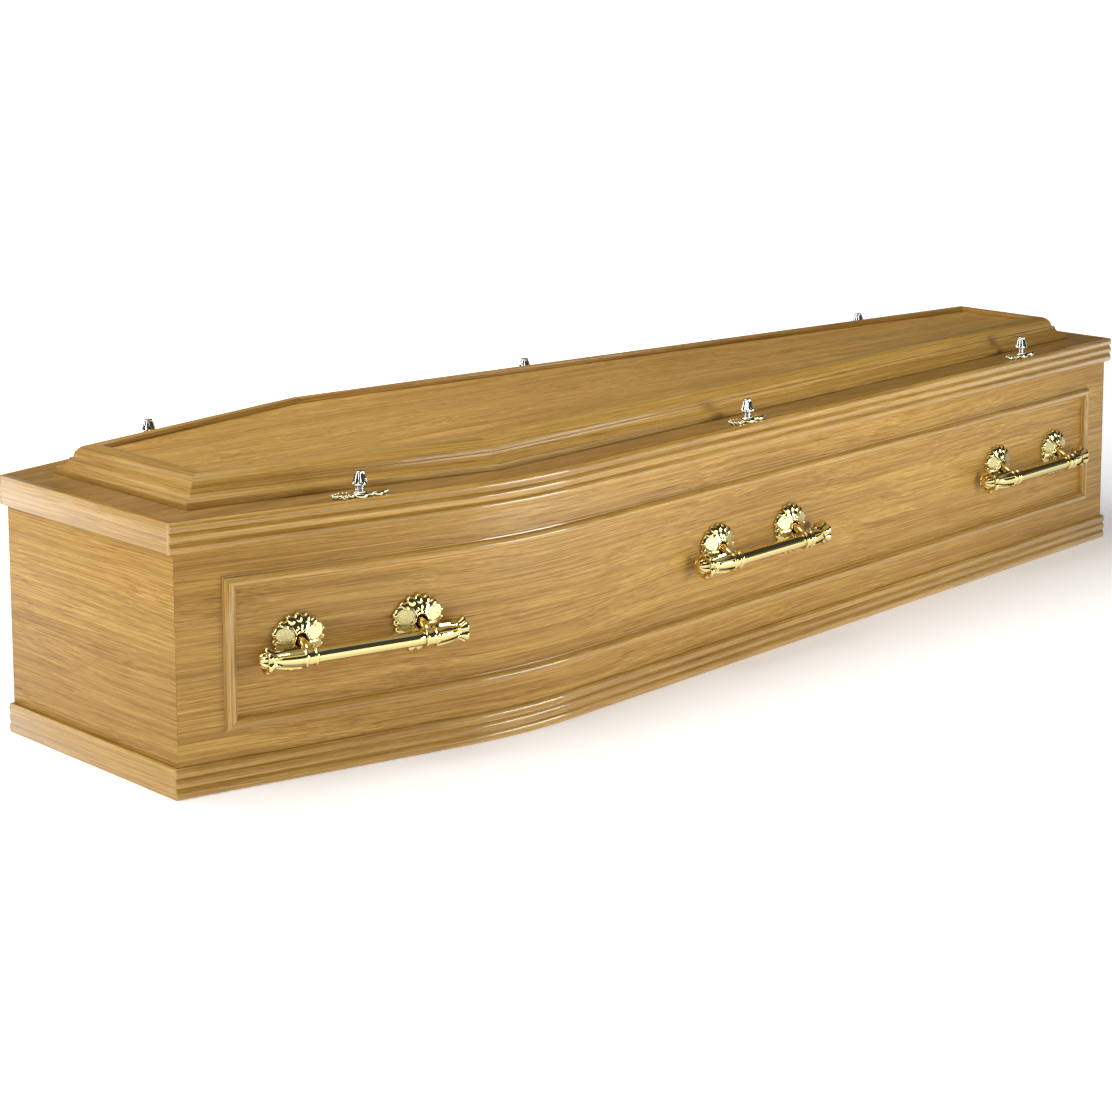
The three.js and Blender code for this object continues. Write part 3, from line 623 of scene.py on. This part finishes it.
def add_bead_frames():
    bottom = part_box("panel_bead_bottom_left")[0].z
    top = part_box("panel_bead_top_left")[1].z
    for name, edge, upwards in (("panel_bead_top", top, -1), ("panel_bead_bottom", bottom, 1)):
        section = [(out, edge + upwards * across) for across, out in bead_points()]
        ends = mitred_head(BEAD_FROM_HEAD, edge), mitred_foot(BEAD_FROM_FOOT, edge)
        add_side_pair(name, section, *ends, "oak_moulding", BEAD_EDGE)

    for name, corner, run, normal, inset in (
        ("panel_bead_head", HEAD_CORNER, HEAD_RUN, HEAD_NORMAL, BEAD_FROM_HEAD),
        ("panel_bead_foot", FOOT_CORNER, -FOOT_RUN, FOOT_NORMAL, BEAD_FROM_FOOT),
    ):
        for side, sign in (("left", 1), ("right", -1)):
            rings, grain = [], []
            for edge, upwards in ((bottom, 1), (top, -1)):
                ring = []
                for across, out in bead_points():
                    plan = corner + run * (inset + across) + normal * out
                    height = edge + upwards * across
                    ring.append(Vector((plan[0], sign * plan[1], height)))
                    grain.append((height, across, out))
                rings.append(ring)
            add_piece(f"{name}_{side}", "oak", *loft(rings), "oak_moulding", grain, BEAD_EDGE)


# Raised frame on the lid
RAISED_OUT = LID_OVERHANG - RAISED_MARGIN
RAISED_END = BODY_LENGTH / 2 + RAISED_OUT


def raised_head(inset):
    return run_at_x(HEAD_CORNER, HEAD_RUN, RAISED_OUT - inset, inset - RAISED_END)


def raised_shoulder(inset):
    return SHOULDER + MITRE_NORMAL * (RAISED_OUT - inset)


def raised_foot(inset):
    return run_at_x(FOOT_CORNER, FOOT_RUN, RAISED_OUT - inset, RAISED_END - inset)


def on_right(corner):
    return lambda inset: corner(inset) * flat(1, -1)


def rail_section():
    """Fillet, cove, step, quarter round and flat top, as (inset, height) points."""
    points = [(0.0, 0.0)]
    for step in range(ROUND_STEPS // 2 + 1):
        angle = step / (ROUND_STEPS // 2) * math.pi / 2
        height = RAIL_FILLET_HEIGHT - RAIL_NOSE * (1 - math.sin(angle))
        points.append((RAIL_NOSE * (1 - math.cos(angle)), height))
    for step in range(1, ROUND_STEPS + 1):
        angle = step / ROUND_STEPS * math.pi / 2
        inset = RAIL_NOSE + (COVE_WIDTH - RAIL_NOSE) * math.sin(angle)
        points.append((inset, COVE_HEIGHT - (COVE_HEIGHT - RAIL_FILLET_HEIGHT) * math.cos(angle)))
    start = COVE_WIDTH + STEP_WIDTH
    end = RAIL_WIDTH - RAIL_TOP_WIDTH
    for step in range(ROUND_STEPS + 1):
        angle = step / ROUND_STEPS * math.pi / 2
        inset = end - (end - start) * math.cos(angle)
        points.append((inset, COVE_HEIGHT + (RAISED_HEIGHT - COVE_HEIGHT) * math.sin(angle)))
    panel = PANEL_TOP - RAISED_BOTTOM + PANEL_GAP
    points += [(RAIL_WIDTH, RAISED_HEIGHT), (RAIL_WIDTH, panel)]
    points += [(RAIL_WIDTH - PANEL_LAP, panel), (RAIL_WIDTH - PANEL_LAP, 0.0)]
    return points


def add_raised_frame():
    left_corners = (raised_head, raised_shoulder, raised_foot)
    right_head, right_shoulder, right_foot = (on_right(corner) for corner in left_corners)
    rails = {
        "right_head": (right_head, right_shoulder),
        "right_foot": (right_shoulder, right_foot),
        "foot": (right_foot, raised_foot),
        "left_foot": (raised_foot, raised_shoulder),
        "left_head": (raised_shoulder, raised_head),
        "head": (raised_head, right_head),
    }
    for key, (start, end) in rails.items():
        run = end(0) - start(0)
        run /= np.linalg.norm(run)
        rings, grain = [], []
        for corner in (start, end):
            ring = []
            for inset, height in rail_section():
                plan = corner(inset)
                ring.append(Vector((plan[0], plan[1], RAISED_BOTTOM + height)))
                grain.append((float(plan @ run), inset, height))
            rings.append(ring)
        rail = loft(rings)
        add_piece(
            f"raised_frame_{key}", "oak", *rail, "oak_moulding", grain, RAIL_EDGE, RAIL_CREASE, "rail_oak",
        )


# Handles, in a frame with x along the side, -y away from the body and z = 0 at the bar's axis
ARM_X = ARM_SPACING / 2
RIM_X = ARM_X + FINIAL_RIM_FROM_ARM
COLLAR_INNER = ARM_X - COLLAR_WIDTH / 2
COLLAR_OUTER = ARM_X + COLLAR_WIDTH / 2


def smooth(edge_low, edge_high, value):
    """Smooth step from 0 to 1 between two edges."""
    share = np.clip((value - edge_low) / (edge_high - edge_low), 0, 1)
    return share * share * (3 - 2 * share)


def ridge(value, centre, half_width):
    """A rounded ridge of height 1 about a centre."""
    share = np.clip(np.abs(value - centre) / half_width, 0, 1)
    return np.sqrt(1 - share * share)


def bar_radius(x, turn):
    """The bar's radius at distances from its middle and at angles round it, 0 on top."""
    flare = (x - COLLAR_OUTER) / (RIM_X - COLLAR_OUTER)
    swollen = BAR_RADIUS + TUBE_SWELL * (1 - smooth(*SWELL_RUN, flare))
    tube = swollen - (BAR_RADIUS - BAR_NECK_RADIUS) * smooth(*NECK_RUN, flare)
    radius = np.where(x < COLLAR_OUTER, BAR_RADIUS, tube)

    # fine lengthwise reeds on the straight bar
    reeds = REED_RELIEF * np.abs(np.cos(BAR_REEDS * turn / 2))
    radius = radius + np.where(x < COLLAR_INNER, reeds, 0.0)

    # two thin rings with a barrel between them
    inner_ring = ridge(x, COLLAR_INNER + RING_HALF_WIDTH, RING_HALF_WIDTH)
    outer_ring = ridge(x, COLLAR_OUTER - RING_HALF_WIDTH, RING_HALF_WIDTH)
    rings = (COLLAR_RADIUS - BAR_RADIUS) * np.maximum(inner_ring, outer_ring)
    barrel = (BARREL_RADIUS - BAR_RADIUS) * ridge(x, ARM_X, BARREL_HALF_WIDTH)
    radius = radius + np.maximum(rings, barrel)

    # trumpet flare to a rim of rounded petals
    petal = np.abs(np.cos(PETAL_COUNT * turn / 2))
    trumpet = smooth(*TRUMPET_RUN, flare) ** 1.5
    scalloped = FINIAL_RIM_RADIUS - PETAL_DEPTH * (1 - petal) ** 1.2
    radius = radius + trumpet * (scalloped - radius)

    # sepals folded back along the tube, each behind a petal, the top one longer
    top = 0.5 + 0.5 * np.cos(turn)
    length = SEPAL_LENGTH * (0.75 + 0.45 * top**6)
    back = np.clip((RIM_X - SEPAL_FROM_RIM - x) / length, 0, 1)
    sector = 2 * math.pi / PETAL_COUNT
    across = np.abs((turn + sector / 2) % sector - sector / 2) / (sector / 2)
    leaf = np.clip(1 - (across / np.maximum((1 - back) ** 0.7 * 0.88, 1e-3)) ** 2, 0, 1)
    return radius + SEPAL_HEIGHT * np.sqrt(leaf) * (1 - trumpet) * (x > COLLAR_OUTER)


def cap_rows():
    """The end beyond the rim, as (distance, share of the rim's radius): a rolled edge, a dish and a boss."""
    rows = [(0.0012, 0.97), (0.0019, 0.90), (0.0016, 0.80), (0.0004, 0.70), (-0.0002, 0.64)]
    for step in range(DOME_STEPS + 1):
        angle = step / DOME_STEPS * math.pi / 2
        rows.append((FINIAL_DOME * math.sin(angle), FINIAL_BOSS * math.cos(angle)))
    return rows


def bar_sweep(x):
    share = np.clip((x - COLLAR_OUTER) / (RIM_X - COLLAR_OUTER), 0, None)
    return FINIAL_SWEEP * share * share


def handle_bar():
    straight = np.linspace(0.0, COLLAR_INNER - 0.0005, STRAIGHT_ROWS)
    collar = np.linspace(COLLAR_INNER, COLLAR_OUTER, COLLAR_ROWS)
    finial = np.linspace(COLLAR_OUTER + 0.0007, RIM_X, FINIAL_ROWS)
    turns = np.array(circle(BAR_SIDES))
    half = [(x, bar_radius(x, turns)) for x in np.concatenate([straight, collar, finial])]
    rim = half[-1][1]
    half += [(RIM_X + ahead, np.maximum(rim * share, TIP_RADIUS)) for ahead, share in cap_rows()]
    rings = []
    for x, radius in [(-x, radius) for x, radius in reversed(half[1:])] + half:
        y = -BAR_STANDOFF + bar_sweep(abs(x))
        rings.append([
            Vector((x, y - r * math.sin(turn), r * math.cos(turn))) for r, turn in zip(radius, turns)
        ])
    return loft(rings)


# The back plate's relief, in its own plane with u along the side and v up
PLATE_BASE = 0.0022
PLATE_CROWN = 0.0085
CROWN_REACH = (0.037, 0.043)  # half width and half height
CROWN_RISE = 0.002  # of the crown's top above the plate's middle
PLATE_BODY = (0.0290, 0.0325)  # half width and half height
BODY_RISE = 0.001
RIB_START = 0.008
RIB_HEIGHT = 0.0032
RIB_CROWN = 0.8  # share of the crown's height that lies under a rib
FEATHER_TURNS = (-42, -21, 0, 21, 42)  # degrees from upright
FEATHER_REACH = 0.0345
FEATHER_WIDTHS = (0.0014, 0.0074)  # half width at the start and at the tip
TAIL_TURNS = (180, 161, 142, 124)
TAIL_REACHES = (0.0375, 0.0385, 0.0385, 0.0330)
TAIL_WIDTHS = (0.0020, 0.0068)
QUILL_HEIGHT = 0.0009
QUILL_WAVES = 14
QUILL_FAN = 1.1  # radians to each side of upright
QUILL_START = (0.010, 0.014)
WING_LOBES = ((0.0200, 0.0115, 0.0142), (0.0205, -0.0045, 0.0110))  # u, v and radius
WING_LIFT = 0.0022
WING_RIM = 0.0016
WING_RIM_AT = (0.88, 0.12)  # middle and half width, as shares of the lobe's radius
WING_DISH = 0.0012
WING_STIPPLE = 0.82  # share of the lobe's radius
STIPPLE_HEIGHT = 0.014  # the arm's faces lie higher above the board
HOLLOW_RISE = 0.003  # of the hollow's middle above the plate's
HOLLOW_SQUEEZE = 0.85  # of distances up and down, which makes the hollow taller than wide
HOLLOW_DEPTH = 0.0073
HOLLOW_SLOPE = (0.0045, 0.0085)
HOLLOW_RIM = 0.0012
HOLLOW_RIM_AT = (0.0098, 0.0016)  # middle and half width
DROP_AT = 0.0255  # from the middle to a feather's rounded tip
DROP_SIZE = (0.0070, 0.0122, 0.0088)  # half width, half length and height
DROP_GAP = 0.0003  # between the body's face and the drops
EDGE_BEADS = ((0.0312, 0.0125), (0.0308, 0.0030), (0.0282, -0.0060))  # u and v
EDGE_BEAD_SIZE = (0.0050, 0.0050, 0.0060)
PLATE_EDGE = 0.0016  # thickness at the outline
PLATE_ROLL = 0.006  # how fast the face rises from the outline
PLATE_GAP = 0.0002  # between a plate and the board that it lies on
OUTLINE_REACH = 0.046
OUTLINE_STEPS = 460
COVERED = 0.0003  # the least height that counts as plate


def spoke(u, v, degrees, reach, widths):
    """Height from 0 to 1 of a tapering rounded rib that runs out from the plate's middle."""
    angle = math.radians(degrees)
    along = u * math.sin(angle) + v * math.cos(angle)
    across = u * math.cos(angle) - v * math.sin(angle)
    share = np.clip((along - RIB_START) / (reach - RIB_START), 0, 1)
    width = widths[0] + (widths[1] - widths[0]) * share
    beyond = np.maximum(along - (reach - widths[1]), 0)
    before = np.maximum(RIB_START - along, 0)
    distance = np.sqrt(across**2 + beyond**2 + before**2)
    return np.sqrt(np.clip(1 - (distance / width) ** 2, 0, 1))


def plate_height(u, v):
    """Height of the plate's face above the board, and 0 outside its outline."""
    half_width, half_height = CROWN_REACH
    across, upright = u / half_width, (v - CROWN_RISE) / half_height
    crown = PLATE_CROWN * np.clip(1 - across**2 - upright**2, 0, 1)

    ribs = [(degrees, FEATHER_REACH, FEATHER_WIDTHS) for degrees in FEATHER_TURNS]
    for degrees, reach in zip(TAIL_TURNS, TAIL_REACHES):
        ribs += [(degrees, reach, TAIL_WIDTHS), (-degrees, reach, TAIL_WIDTHS)]
    height = np.zeros_like(u)
    for degrees, reach, widths in ribs:
        rib = spoke(u, v, degrees, reach, widths)
        height = np.maximum(height, (rib > 0) * (PLATE_BASE + RIB_CROWN * crown + RIB_HEIGHT * rib))

    # quills on the feathers
    turn = np.arctan2(u, v)
    fan = (np.abs(turn) < QUILL_FAN) * smooth(*QUILL_START, np.hypot(u, v)) * (height > 0)
    height = height + QUILL_HEIGHT * np.abs(np.cos(QUILL_WAVES * turn)) * fan
    body = np.hypot(u / PLATE_BODY[0], (v - BODY_RISE) / PLATE_BODY[1]) < 1
    height = np.maximum(height, body * (PLATE_BASE + crown))

    # dished wing lobes with a raised rim, lying over the feathers
    for centre_u, centre_v, radius in reversed(WING_LOBES):
        distance = np.hypot(np.abs(u) - centre_u, v - centre_v) / radius
        rim = WING_RIM * ridge(distance, *WING_RIM_AT)
        lobe = PLATE_BASE + crown + WING_LIFT + rim - WING_DISH * (1 - distance**2)
        height = np.where(distance < 1, lobe, height)

    bowl = np.hypot(u, (v - HOLLOW_RISE) * HOLLOW_SQUEEZE)
    height = height - HOLLOW_DEPTH * (1 - smooth(*HOLLOW_SLOPE, bowl))
    return height + HOLLOW_RIM * ridge(bowl, *HOLLOW_RIM_AT)


def plate_outline(turns):
    """The farthest covered distance from the middle at each turn."""
    distances = np.linspace(0.0, OUTLINE_REACH, OUTLINE_STEPS + 1)
    u = np.sin(turns)[:, None] * distances
    v = np.cos(turns)[:, None] * distances
    covered = plate_height(u, v) > COVERED
    return np.array([distances[np.nonzero(row)[0].max()] for row in covered])


def egg(centre, size, turn, steps=10, sides=20):
    """The outer half of an egg shape that lies on the board, its length turned from upright."""
    half_width, half_length, height = size
    rings = []
    for step in range(steps + 1):
        lift = step / steps * math.pi / 2
        spread = max(math.cos(lift), 0.02)
        ring = []
        for angle in circle(sides):
            a, b = half_width * spread * math.sin(angle), half_length * spread * math.cos(angle)
            u = centre[0] + a * math.cos(turn) + b * math.sin(turn)
            v = centre[1] - a * math.sin(turn) + b * math.cos(turn)
            ring.append(Vector((u, -DROP_GAP - height * math.sin(lift), PLATE_ABOVE_BAR + v)))
        rings.append(ring)
    return loft(rings)


def joined(*parts):
    """One mesh from several closed skins."""
    vertices, faces = [], []
    for more_vertices, more_faces in parts:
        offset = len(vertices)
        vertices += more_vertices
        faces += [tuple(i + offset for i in face) for face in more_faces]
    return vertices, faces


def back_plate():
    turns = np.array(circle(PLATE_SIDES))
    reach = plate_outline(turns)
    rings = []
    for share in np.linspace(0.02, 1.0, PLATE_RINGS):
        distance = reach * share
        u, v = distance * np.sin(turns), distance * np.cos(turns)
        height = np.maximum(plate_height(u, v), PLATE_EDGE)
        # the face rolls over to the edge
        height = np.minimum(height, PLATE_EDGE + np.sqrt(np.clip(reach - distance, 0, 1) * PLATE_ROLL))
        rings.append([Vector((a, -h, PLATE_ABOVE_BAR + b)) for a, b, h in zip(u, v, height)])
    rings.append([Vector((p.x, -PLATE_GAP, p.z)) for p in rings[-1]])

    drops = []
    for degrees in FEATHER_TURNS:
        turn = math.radians(degrees)
        drops.append(egg((DROP_AT * math.sin(turn), DROP_AT * math.cos(turn)), DROP_SIZE, turn))
    for u, v in EDGE_BEADS:
        drops += [egg((sign * u, v), EDGE_BEAD_SIZE, 0.0) for sign in (-1, 1)]
    return joined(loft(rings), arm(), *drops)


def arm():
    """The curved arm from the plate's hollow to the back of the collar."""
    root = Vector((0, -0.001, PLATE_ABOVE_BAR + HOLLOW_RISE))
    bow = Vector((0, -ARM_TURN * BAR_STANDOFF, PLATE_ABOVE_BAR + HOLLOW_RISE))
    axis = Vector((0, -BAR_STANDOFF, 0.002))
    across = Vector((1, 0, 0))
    rings = []
    for step in range(ARM_STEPS + 1):
        t = step / ARM_STEPS
        point = root.lerp(bow, t).lerp(bow.lerp(axis, t), t)
        ahead = (bow - root).lerp(axis - bow, t).normalized()
        up = across.cross(ahead)
        # thicker at both ends
        radius = ARM_RADIUS * (1.0 + 0.55 * (1 - t) ** 4 + 0.35 * t**4)
        rings.append([point + radius * (math.cos(a) * across + math.sin(a) * up) for a in circle(ARM_SIDES)])
    return loft(rings)


def add_handles():
    bar_vertices, bar_faces = handle_bar()
    plate_vertices, plate_faces = back_plate()
    for index in range(FITTINGS_A_SIDE):
        point, turn = side_place(handle_x(index), 0.0)
        for side, sign in (("left", 1), ("right", -1)):
            facing = turn + math.pi if sign > 0 else -turn
            place = Matrix.Translation((point[0], sign * point[1], BAR_HEIGHT))
            place = place @ Matrix.Rotation(facing, 4, "Z")
            name = f"handle_{side}_{index + 1}"
            moved = [place @ vertex for vertex in bar_vertices]
            add_piece(f"{name}_bar", "cast", moved, bar_faces, "brass", crease=CAST_CREASE)
            for end, x in (("headward", ARM_X * sign), ("footward", -ARM_X * sign)):
                moved = [place @ (vertex + Vector((x, 0, 0))) for vertex in plate_vertices]
                plate = f"{name}_plate_{end}"
                piece = add_piece(plate, "cast", moved, plate_faces, "brass", crease=CAST_CREASE)
                paint_stipple(piece, plate_vertices)


def paint_stipple(piece, local):
    """Gives the faces of the wings' dishes the stippled metal."""
    piece.data.materials.append(materials["brass_stippled"])
    for polygon in piece.data.polygons:
        middle = sum((local[i] for i in polygon.vertices), Vector()) / len(polygon.vertices)
        for centre_u, centre_v, radius in WING_LOBES:
            distance = math.hypot(abs(middle.x) - centre_u, middle.z - PLATE_ABOVE_BAR - centre_v)
            if distance < WING_STIPPLE * radius and middle.y > -STIPPLE_HEIGHT and len(polygon.vertices) == 4:
                polygon.material_index = 1


# Thumbscrews, in a frame with x along the side and z = 0 on the lid
def neck_profile():
    """The screw's foot and its ribbed neck, as (radius, height) points."""
    bottom = SCREW_PLATE_THICKNESS
    seat = bottom + SCREW_SEAT
    top = SCREW_PLATE_THICKNESS + SCREW_NECK_HEIGHT
    foot = SCREW_NECK_RADIUS * SCREW_FOOT
    profile = [(0.0, bottom), (foot, bottom), (foot, seat)]
    steps = SCREW_NECK_RIBS * 6
    for step in range(steps + 1):
        share = step / steps
        wave = 0.0005 * math.cos(share * SCREW_NECK_RIBS * 2 * math.pi)
        radius = SCREW_NECK_RADIUS * (1.0 - 0.06 * share) + wave - 0.0003
        profile.append((radius, seat + share * (top - seat)))
    return profile


def thumbscrew():
    neck_top = SCREW_PLATE_THICKNESS + SCREW_NECK_HEIGHT
    top = neck_top + SCREW_HEAD_HEIGHT
    profile = neck_profile()
    profile += [(r * SCREW_HEAD_RADIUS, neck_top + h * SCREW_HEAD_HEIGHT) for r, h in SCREW_BELL]
    profile += [(radius, top - depth) for radius, depth in SCREW_TOP]
    flute_low, flute_high = (neck_top + share * SCREW_HEAD_HEIGHT for share in SCREW_FLUTE_SPAN)
    rings = []
    for radius, z in profile:
        depth = 0.0
        if flute_low < z < flute_high:
            # the flutes run out at both ends
            run_out = min(1.0, (z - flute_low) / 0.002 + 0.2, (flute_high - z) / 0.0012 + 0.2)
            depth = SCREW_FLUTE_DEPTH * run_out
        ring = []
        for turn in circle(SCREW_FLUTES * 10):
            groove = (1 - abs(math.cos(SCREW_FLUTES * turn / 2))) ** 1.2
            r = max(radius, TIP_RADIUS) * (1 - depth * groove)
            ring.append(Vector((r * math.cos(turn), r * math.sin(turn), z)))
        rings.append(ring)
    return loft(rings)


def screw_plate_half_width(x):
    """Half the plate's width at a distance from its middle."""
    length, width = SCREW_PLATE_LENGTH / 2, SCREW_PLATE_WIDTH / 2
    reach = SCREW_PLATE_BAR
    for centre, radius in SCREW_PLATE_LOBES:
        reach = max(reach, math.sqrt(max((radius * width) ** 2 - (abs(x) - centre * length) ** 2, 0)))
    return reach


def ball(x, y, z, radius, steps=6, sides=12):
    rings = []
    for step in range(steps + 1):
        lift = -math.pi / 2 + math.pi * step / steps
        spread = radius * max(math.cos(lift), 0.02)
        ring = [(x + spread * math.cos(a), y + spread * math.sin(a)) for a in circle(sides)]
        rings.append([Vector((u, v, z + radius * math.sin(lift))) for u, v in ring])
    return loft(rings)


def boss():
    """The round seat in the middle of the plate."""
    top = SCREW_PLATE_THICKNESS + BOSS_HEIGHT
    profile = [(BOSS_RADIUS, 0.0), (BOSS_RADIUS, SCREW_PLATE_THICKNESS)]
    profile += [(0.0086, top - 0.0004), (0.0074, top), (0.0001, top)]
    return loft([
        [Vector((r * math.cos(a), r * math.sin(a), z)) for a in circle(BOSS_SIDES)] for r, z in profile
    ])


def screw_plate():
    """A lobed plate with a crowned face, beads round its headward end and a round seat in the middle."""
    length = SCREW_PLATE_LENGTH / 2
    near = [(x, -screw_plate_half_width(x)) for x in np.linspace(-length, length, SCREW_PLATE_STEPS)]
    outline = near + [(x, -y) for x, y in reversed(near)]
    rings = [[Vector((x, y, 0.0)) for x, y in outline]]
    for share, lift in SCREW_PLATE_CROWN:
        height = lift * SCREW_PLATE_THICKNESS
        rings.append([Vector((x * (0.75 + 0.25 * share), y * share, height)) for x, y in outline])

    beads = []
    travelled = 0.0
    for (x0, y0), (x1, y1) in zip(outline, outline[1:] + outline[:1]):
        travelled += math.hypot(x1 - x0, y1 - y0)
        if travelled >= SCREW_PLATE_BEAD_PITCH and x1 < -SCREW_PLATE_BEADED_FROM * length:
            travelled = 0.0
            beads.append(ball(x1 * 0.985, y1 * 0.95, SCREW_PLATE_BEAD_HEIGHT, SCREW_PLATE_BEAD_RADIUS))
    return joined(loft(rings), boss(), *beads)


def add_thumbscrews():
    kinds = (
        ("thumbscrew", thumbscrew(), "chrome", "chrome"),
        ("screw_plate", screw_plate(), "brass", "pale_brass"),
    )
    for index in range(FITTINGS_A_SIDE):
        point, turn = side_place(screw_x(index), -WALL_THICKNESS / 2)
        for side, sign in (("left", 1), ("right", -1)):
            place = Matrix.Translation((point[0], sign * point[1], LID_TOP + PLATE_GAP))
            place = place @ Matrix.Rotation(sign * turn, 4, "Z")
            for kind, (vertices, faces), slot, look in kinds:
                name = f"{kind}_{side}_{index + 1}"
                moved = [place @ vertex for vertex in vertices]
                add_piece(name, "cast", moved, faces, slot, crease=CAST_CREASE, look=look)


def dress_cad_boards():
    """The boards whose solids are right as they are."""
    # the lid board gets the darker oak with painted shade
    for name, look in (("floor_board", "inside_oak"), ("lid_board", "shaded_lid_oak"), ("raised_panel", "pale_oak")):
        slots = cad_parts[name].data.materials
        slots.clear()
        slots.append(materials[look])


# Floor, light and camera
FLOOR_REACH = 80.0


def add_floor():
    """A pale floor that glows, less so close to the coffin, where its shadow shows."""
    mesh = bpy.data.meshes.new("floor")
    corners = [(x * FLOOR_REACH, y * FLOOR_REACH, 0) for x, y in ((-1, -1), (1, -1), (1, 1), (-1, 1))]
    mesh.from_pydata(corners, [], [(0, 1, 2, 3)])
    floor = bpy.data.objects.new("floor", mesh)
    bpy.context.scene.collection.objects.link(floor)
    material, tree, shader = node_tree("pale floor")
    shader.inputs["Base Color"].default_value = (0.93, 0.93, 0.93, 1)
    shader.inputs["Roughness"].default_value = 0.9
    shader.inputs["Specular IOR Level"].default_value = 0.0
    shader.inputs["Emission Color"].default_value = (1, 1, 1, 1)
    place = tree.nodes.new("ShaderNodeTexCoord").outputs["Object"]
    squeezed = tree.nodes.new("ShaderNodeVectorMath")
    squeezed.operation = "MULTIPLY"
    squeezed.inputs[1].default_value = (0.5, 1.0, 1.0)
    tree.links.new(place, squeezed.inputs[0])
    distance = tree.nodes.new("ShaderNodeVectorMath")
    distance.operation = "LENGTH"
    tree.links.new(squeezed.outputs["Vector"], distance.inputs[0])
    glow = tree.nodes.new("ShaderNodeMapRange")
    glow.inputs["From Min"].default_value = 0.6
    glow.inputs["From Max"].default_value = 1.4
    glow.inputs["To Min"].default_value = 0.3
    tree.links.new(distance.outputs["Value"], glow.inputs["Value"])
    tree.links.new(glow.outputs["Result"], shader.inputs["Emission Strength"])
    mesh.materials.append(material)


def add_area_light(name, place, aim, size, power, color=(1, 1, 1)):
    data = bpy.data.lights.new(name, "AREA")
    data.shape = "RECTANGLE"
    data.size, data.size_y = size
    data.energy = power
    data.color = color
    light = bpy.data.objects.new(name, data)
    light.location = place
    light.rotation_mode = "QUATERNION"
    light.rotation_quaternion = (Vector(aim) - Vector(place)).to_track_quat("-Z", "Y")
    bpy.context.scene.collection.objects.link(light)


def add_world():
    """A pale room: bright near the horizon, darker above, with a soft bright ceiling overhead."""
    world = bpy.data.worlds.new("studio")
    bpy.context.scene.world = world
    world.use_nodes = True
    tree = world.node_tree
    tree.nodes.clear()
    output = tree.nodes.new("ShaderNodeOutputWorld")
    background = tree.nodes.new("ShaderNodeBackground")
    direction = tree.nodes.new("ShaderNodeTexCoord").outputs["Generated"]
    parts = tree.nodes.new("ShaderNodeSeparateXYZ")
    tree.links.new(direction, parts.inputs["Vector"])
    height = arithmetic(tree, "ADD", arithmetic(tree, "MULTIPLY", parts.outputs["Z"], 0.5), 0.5)
    sky = ramp(
        tree, height,
        (0.0, grey(0.6)), (0.505, grey(0.6)), (0.53, grey(0.15)), (0.58, grey(0.06)),
        (0.86, grey(0.06)), (0.95, grey(0.5)),
    )
    tree.links.new(sky, background.inputs["Color"])
    background.inputs["Strength"].default_value = 0.85
    tree.links.new(background.outputs["Background"], output.inputs["Surface"])


def add_studio():
    add_floor()
    add_world()
    add_area_light("overhead", place=(-1.0, 0.4, 2.8), aim=(-0.3, 0, 0), size=(2.4, 1.6), power=44.0)
    add_area_light(
        "left", place=(-3.9, 0.2, 1.9), aim=(-0.9, 0, 0.2), size=(1.4, 1.4), power=52.0,
        color=(1.0, 0.98, 0.95),
    )
    add_area_light("right", place=(0.70, -2.00, 0.50), aim=(-2.2, -0.3, 0.2), size=(1.15, 0.34), power=24.0)
    add_area_light("behind", place=(-1.9, 2.7, 2.4), aim=(-0.8, 0, 0.3), size=(1.6, 1.2), power=26.0)


def add_camera():
    data = bpy.data.cameras.new("camera")
    camera = bpy.data.objects.new("camera", data)
    bpy.context.scene.collection.objects.link(camera)
    bpy.context.scene.camera = camera
    data.lens = CAMERA_LENS
    data.sensor_width = SENSOR_WIDTH
    data.shift_y = CAMERA_SHIFT_Y
    data.clip_end = 300.0
    camera.rotation_mode = "QUATERNION"
    yaw, pitch = math.radians(CAMERA_YAW), math.radians(CAMERA_PITCH)
    forward = Vector((math.cos(pitch) * math.cos(yaw), math.cos(pitch) * math.sin(yaw), math.sin(pitch)))
    level = forward.to_track_quat("-Z", "Y")
    roll = Matrix.Rotation(math.radians(CAMERA_ROLL), 4, forward).to_quaternion()
    camera.location = CAMERA_PLACE
    camera.rotation_quaternion = roll @ level


add_camera()
add_studio()
add_body()
add_edge_mouldings()
add_bead_frames()
add_raised_frame()
add_handles()
add_thumbscrews()
dress_cad_boards()
bpy.context.scene.view_settings.view_transform = "Standard"
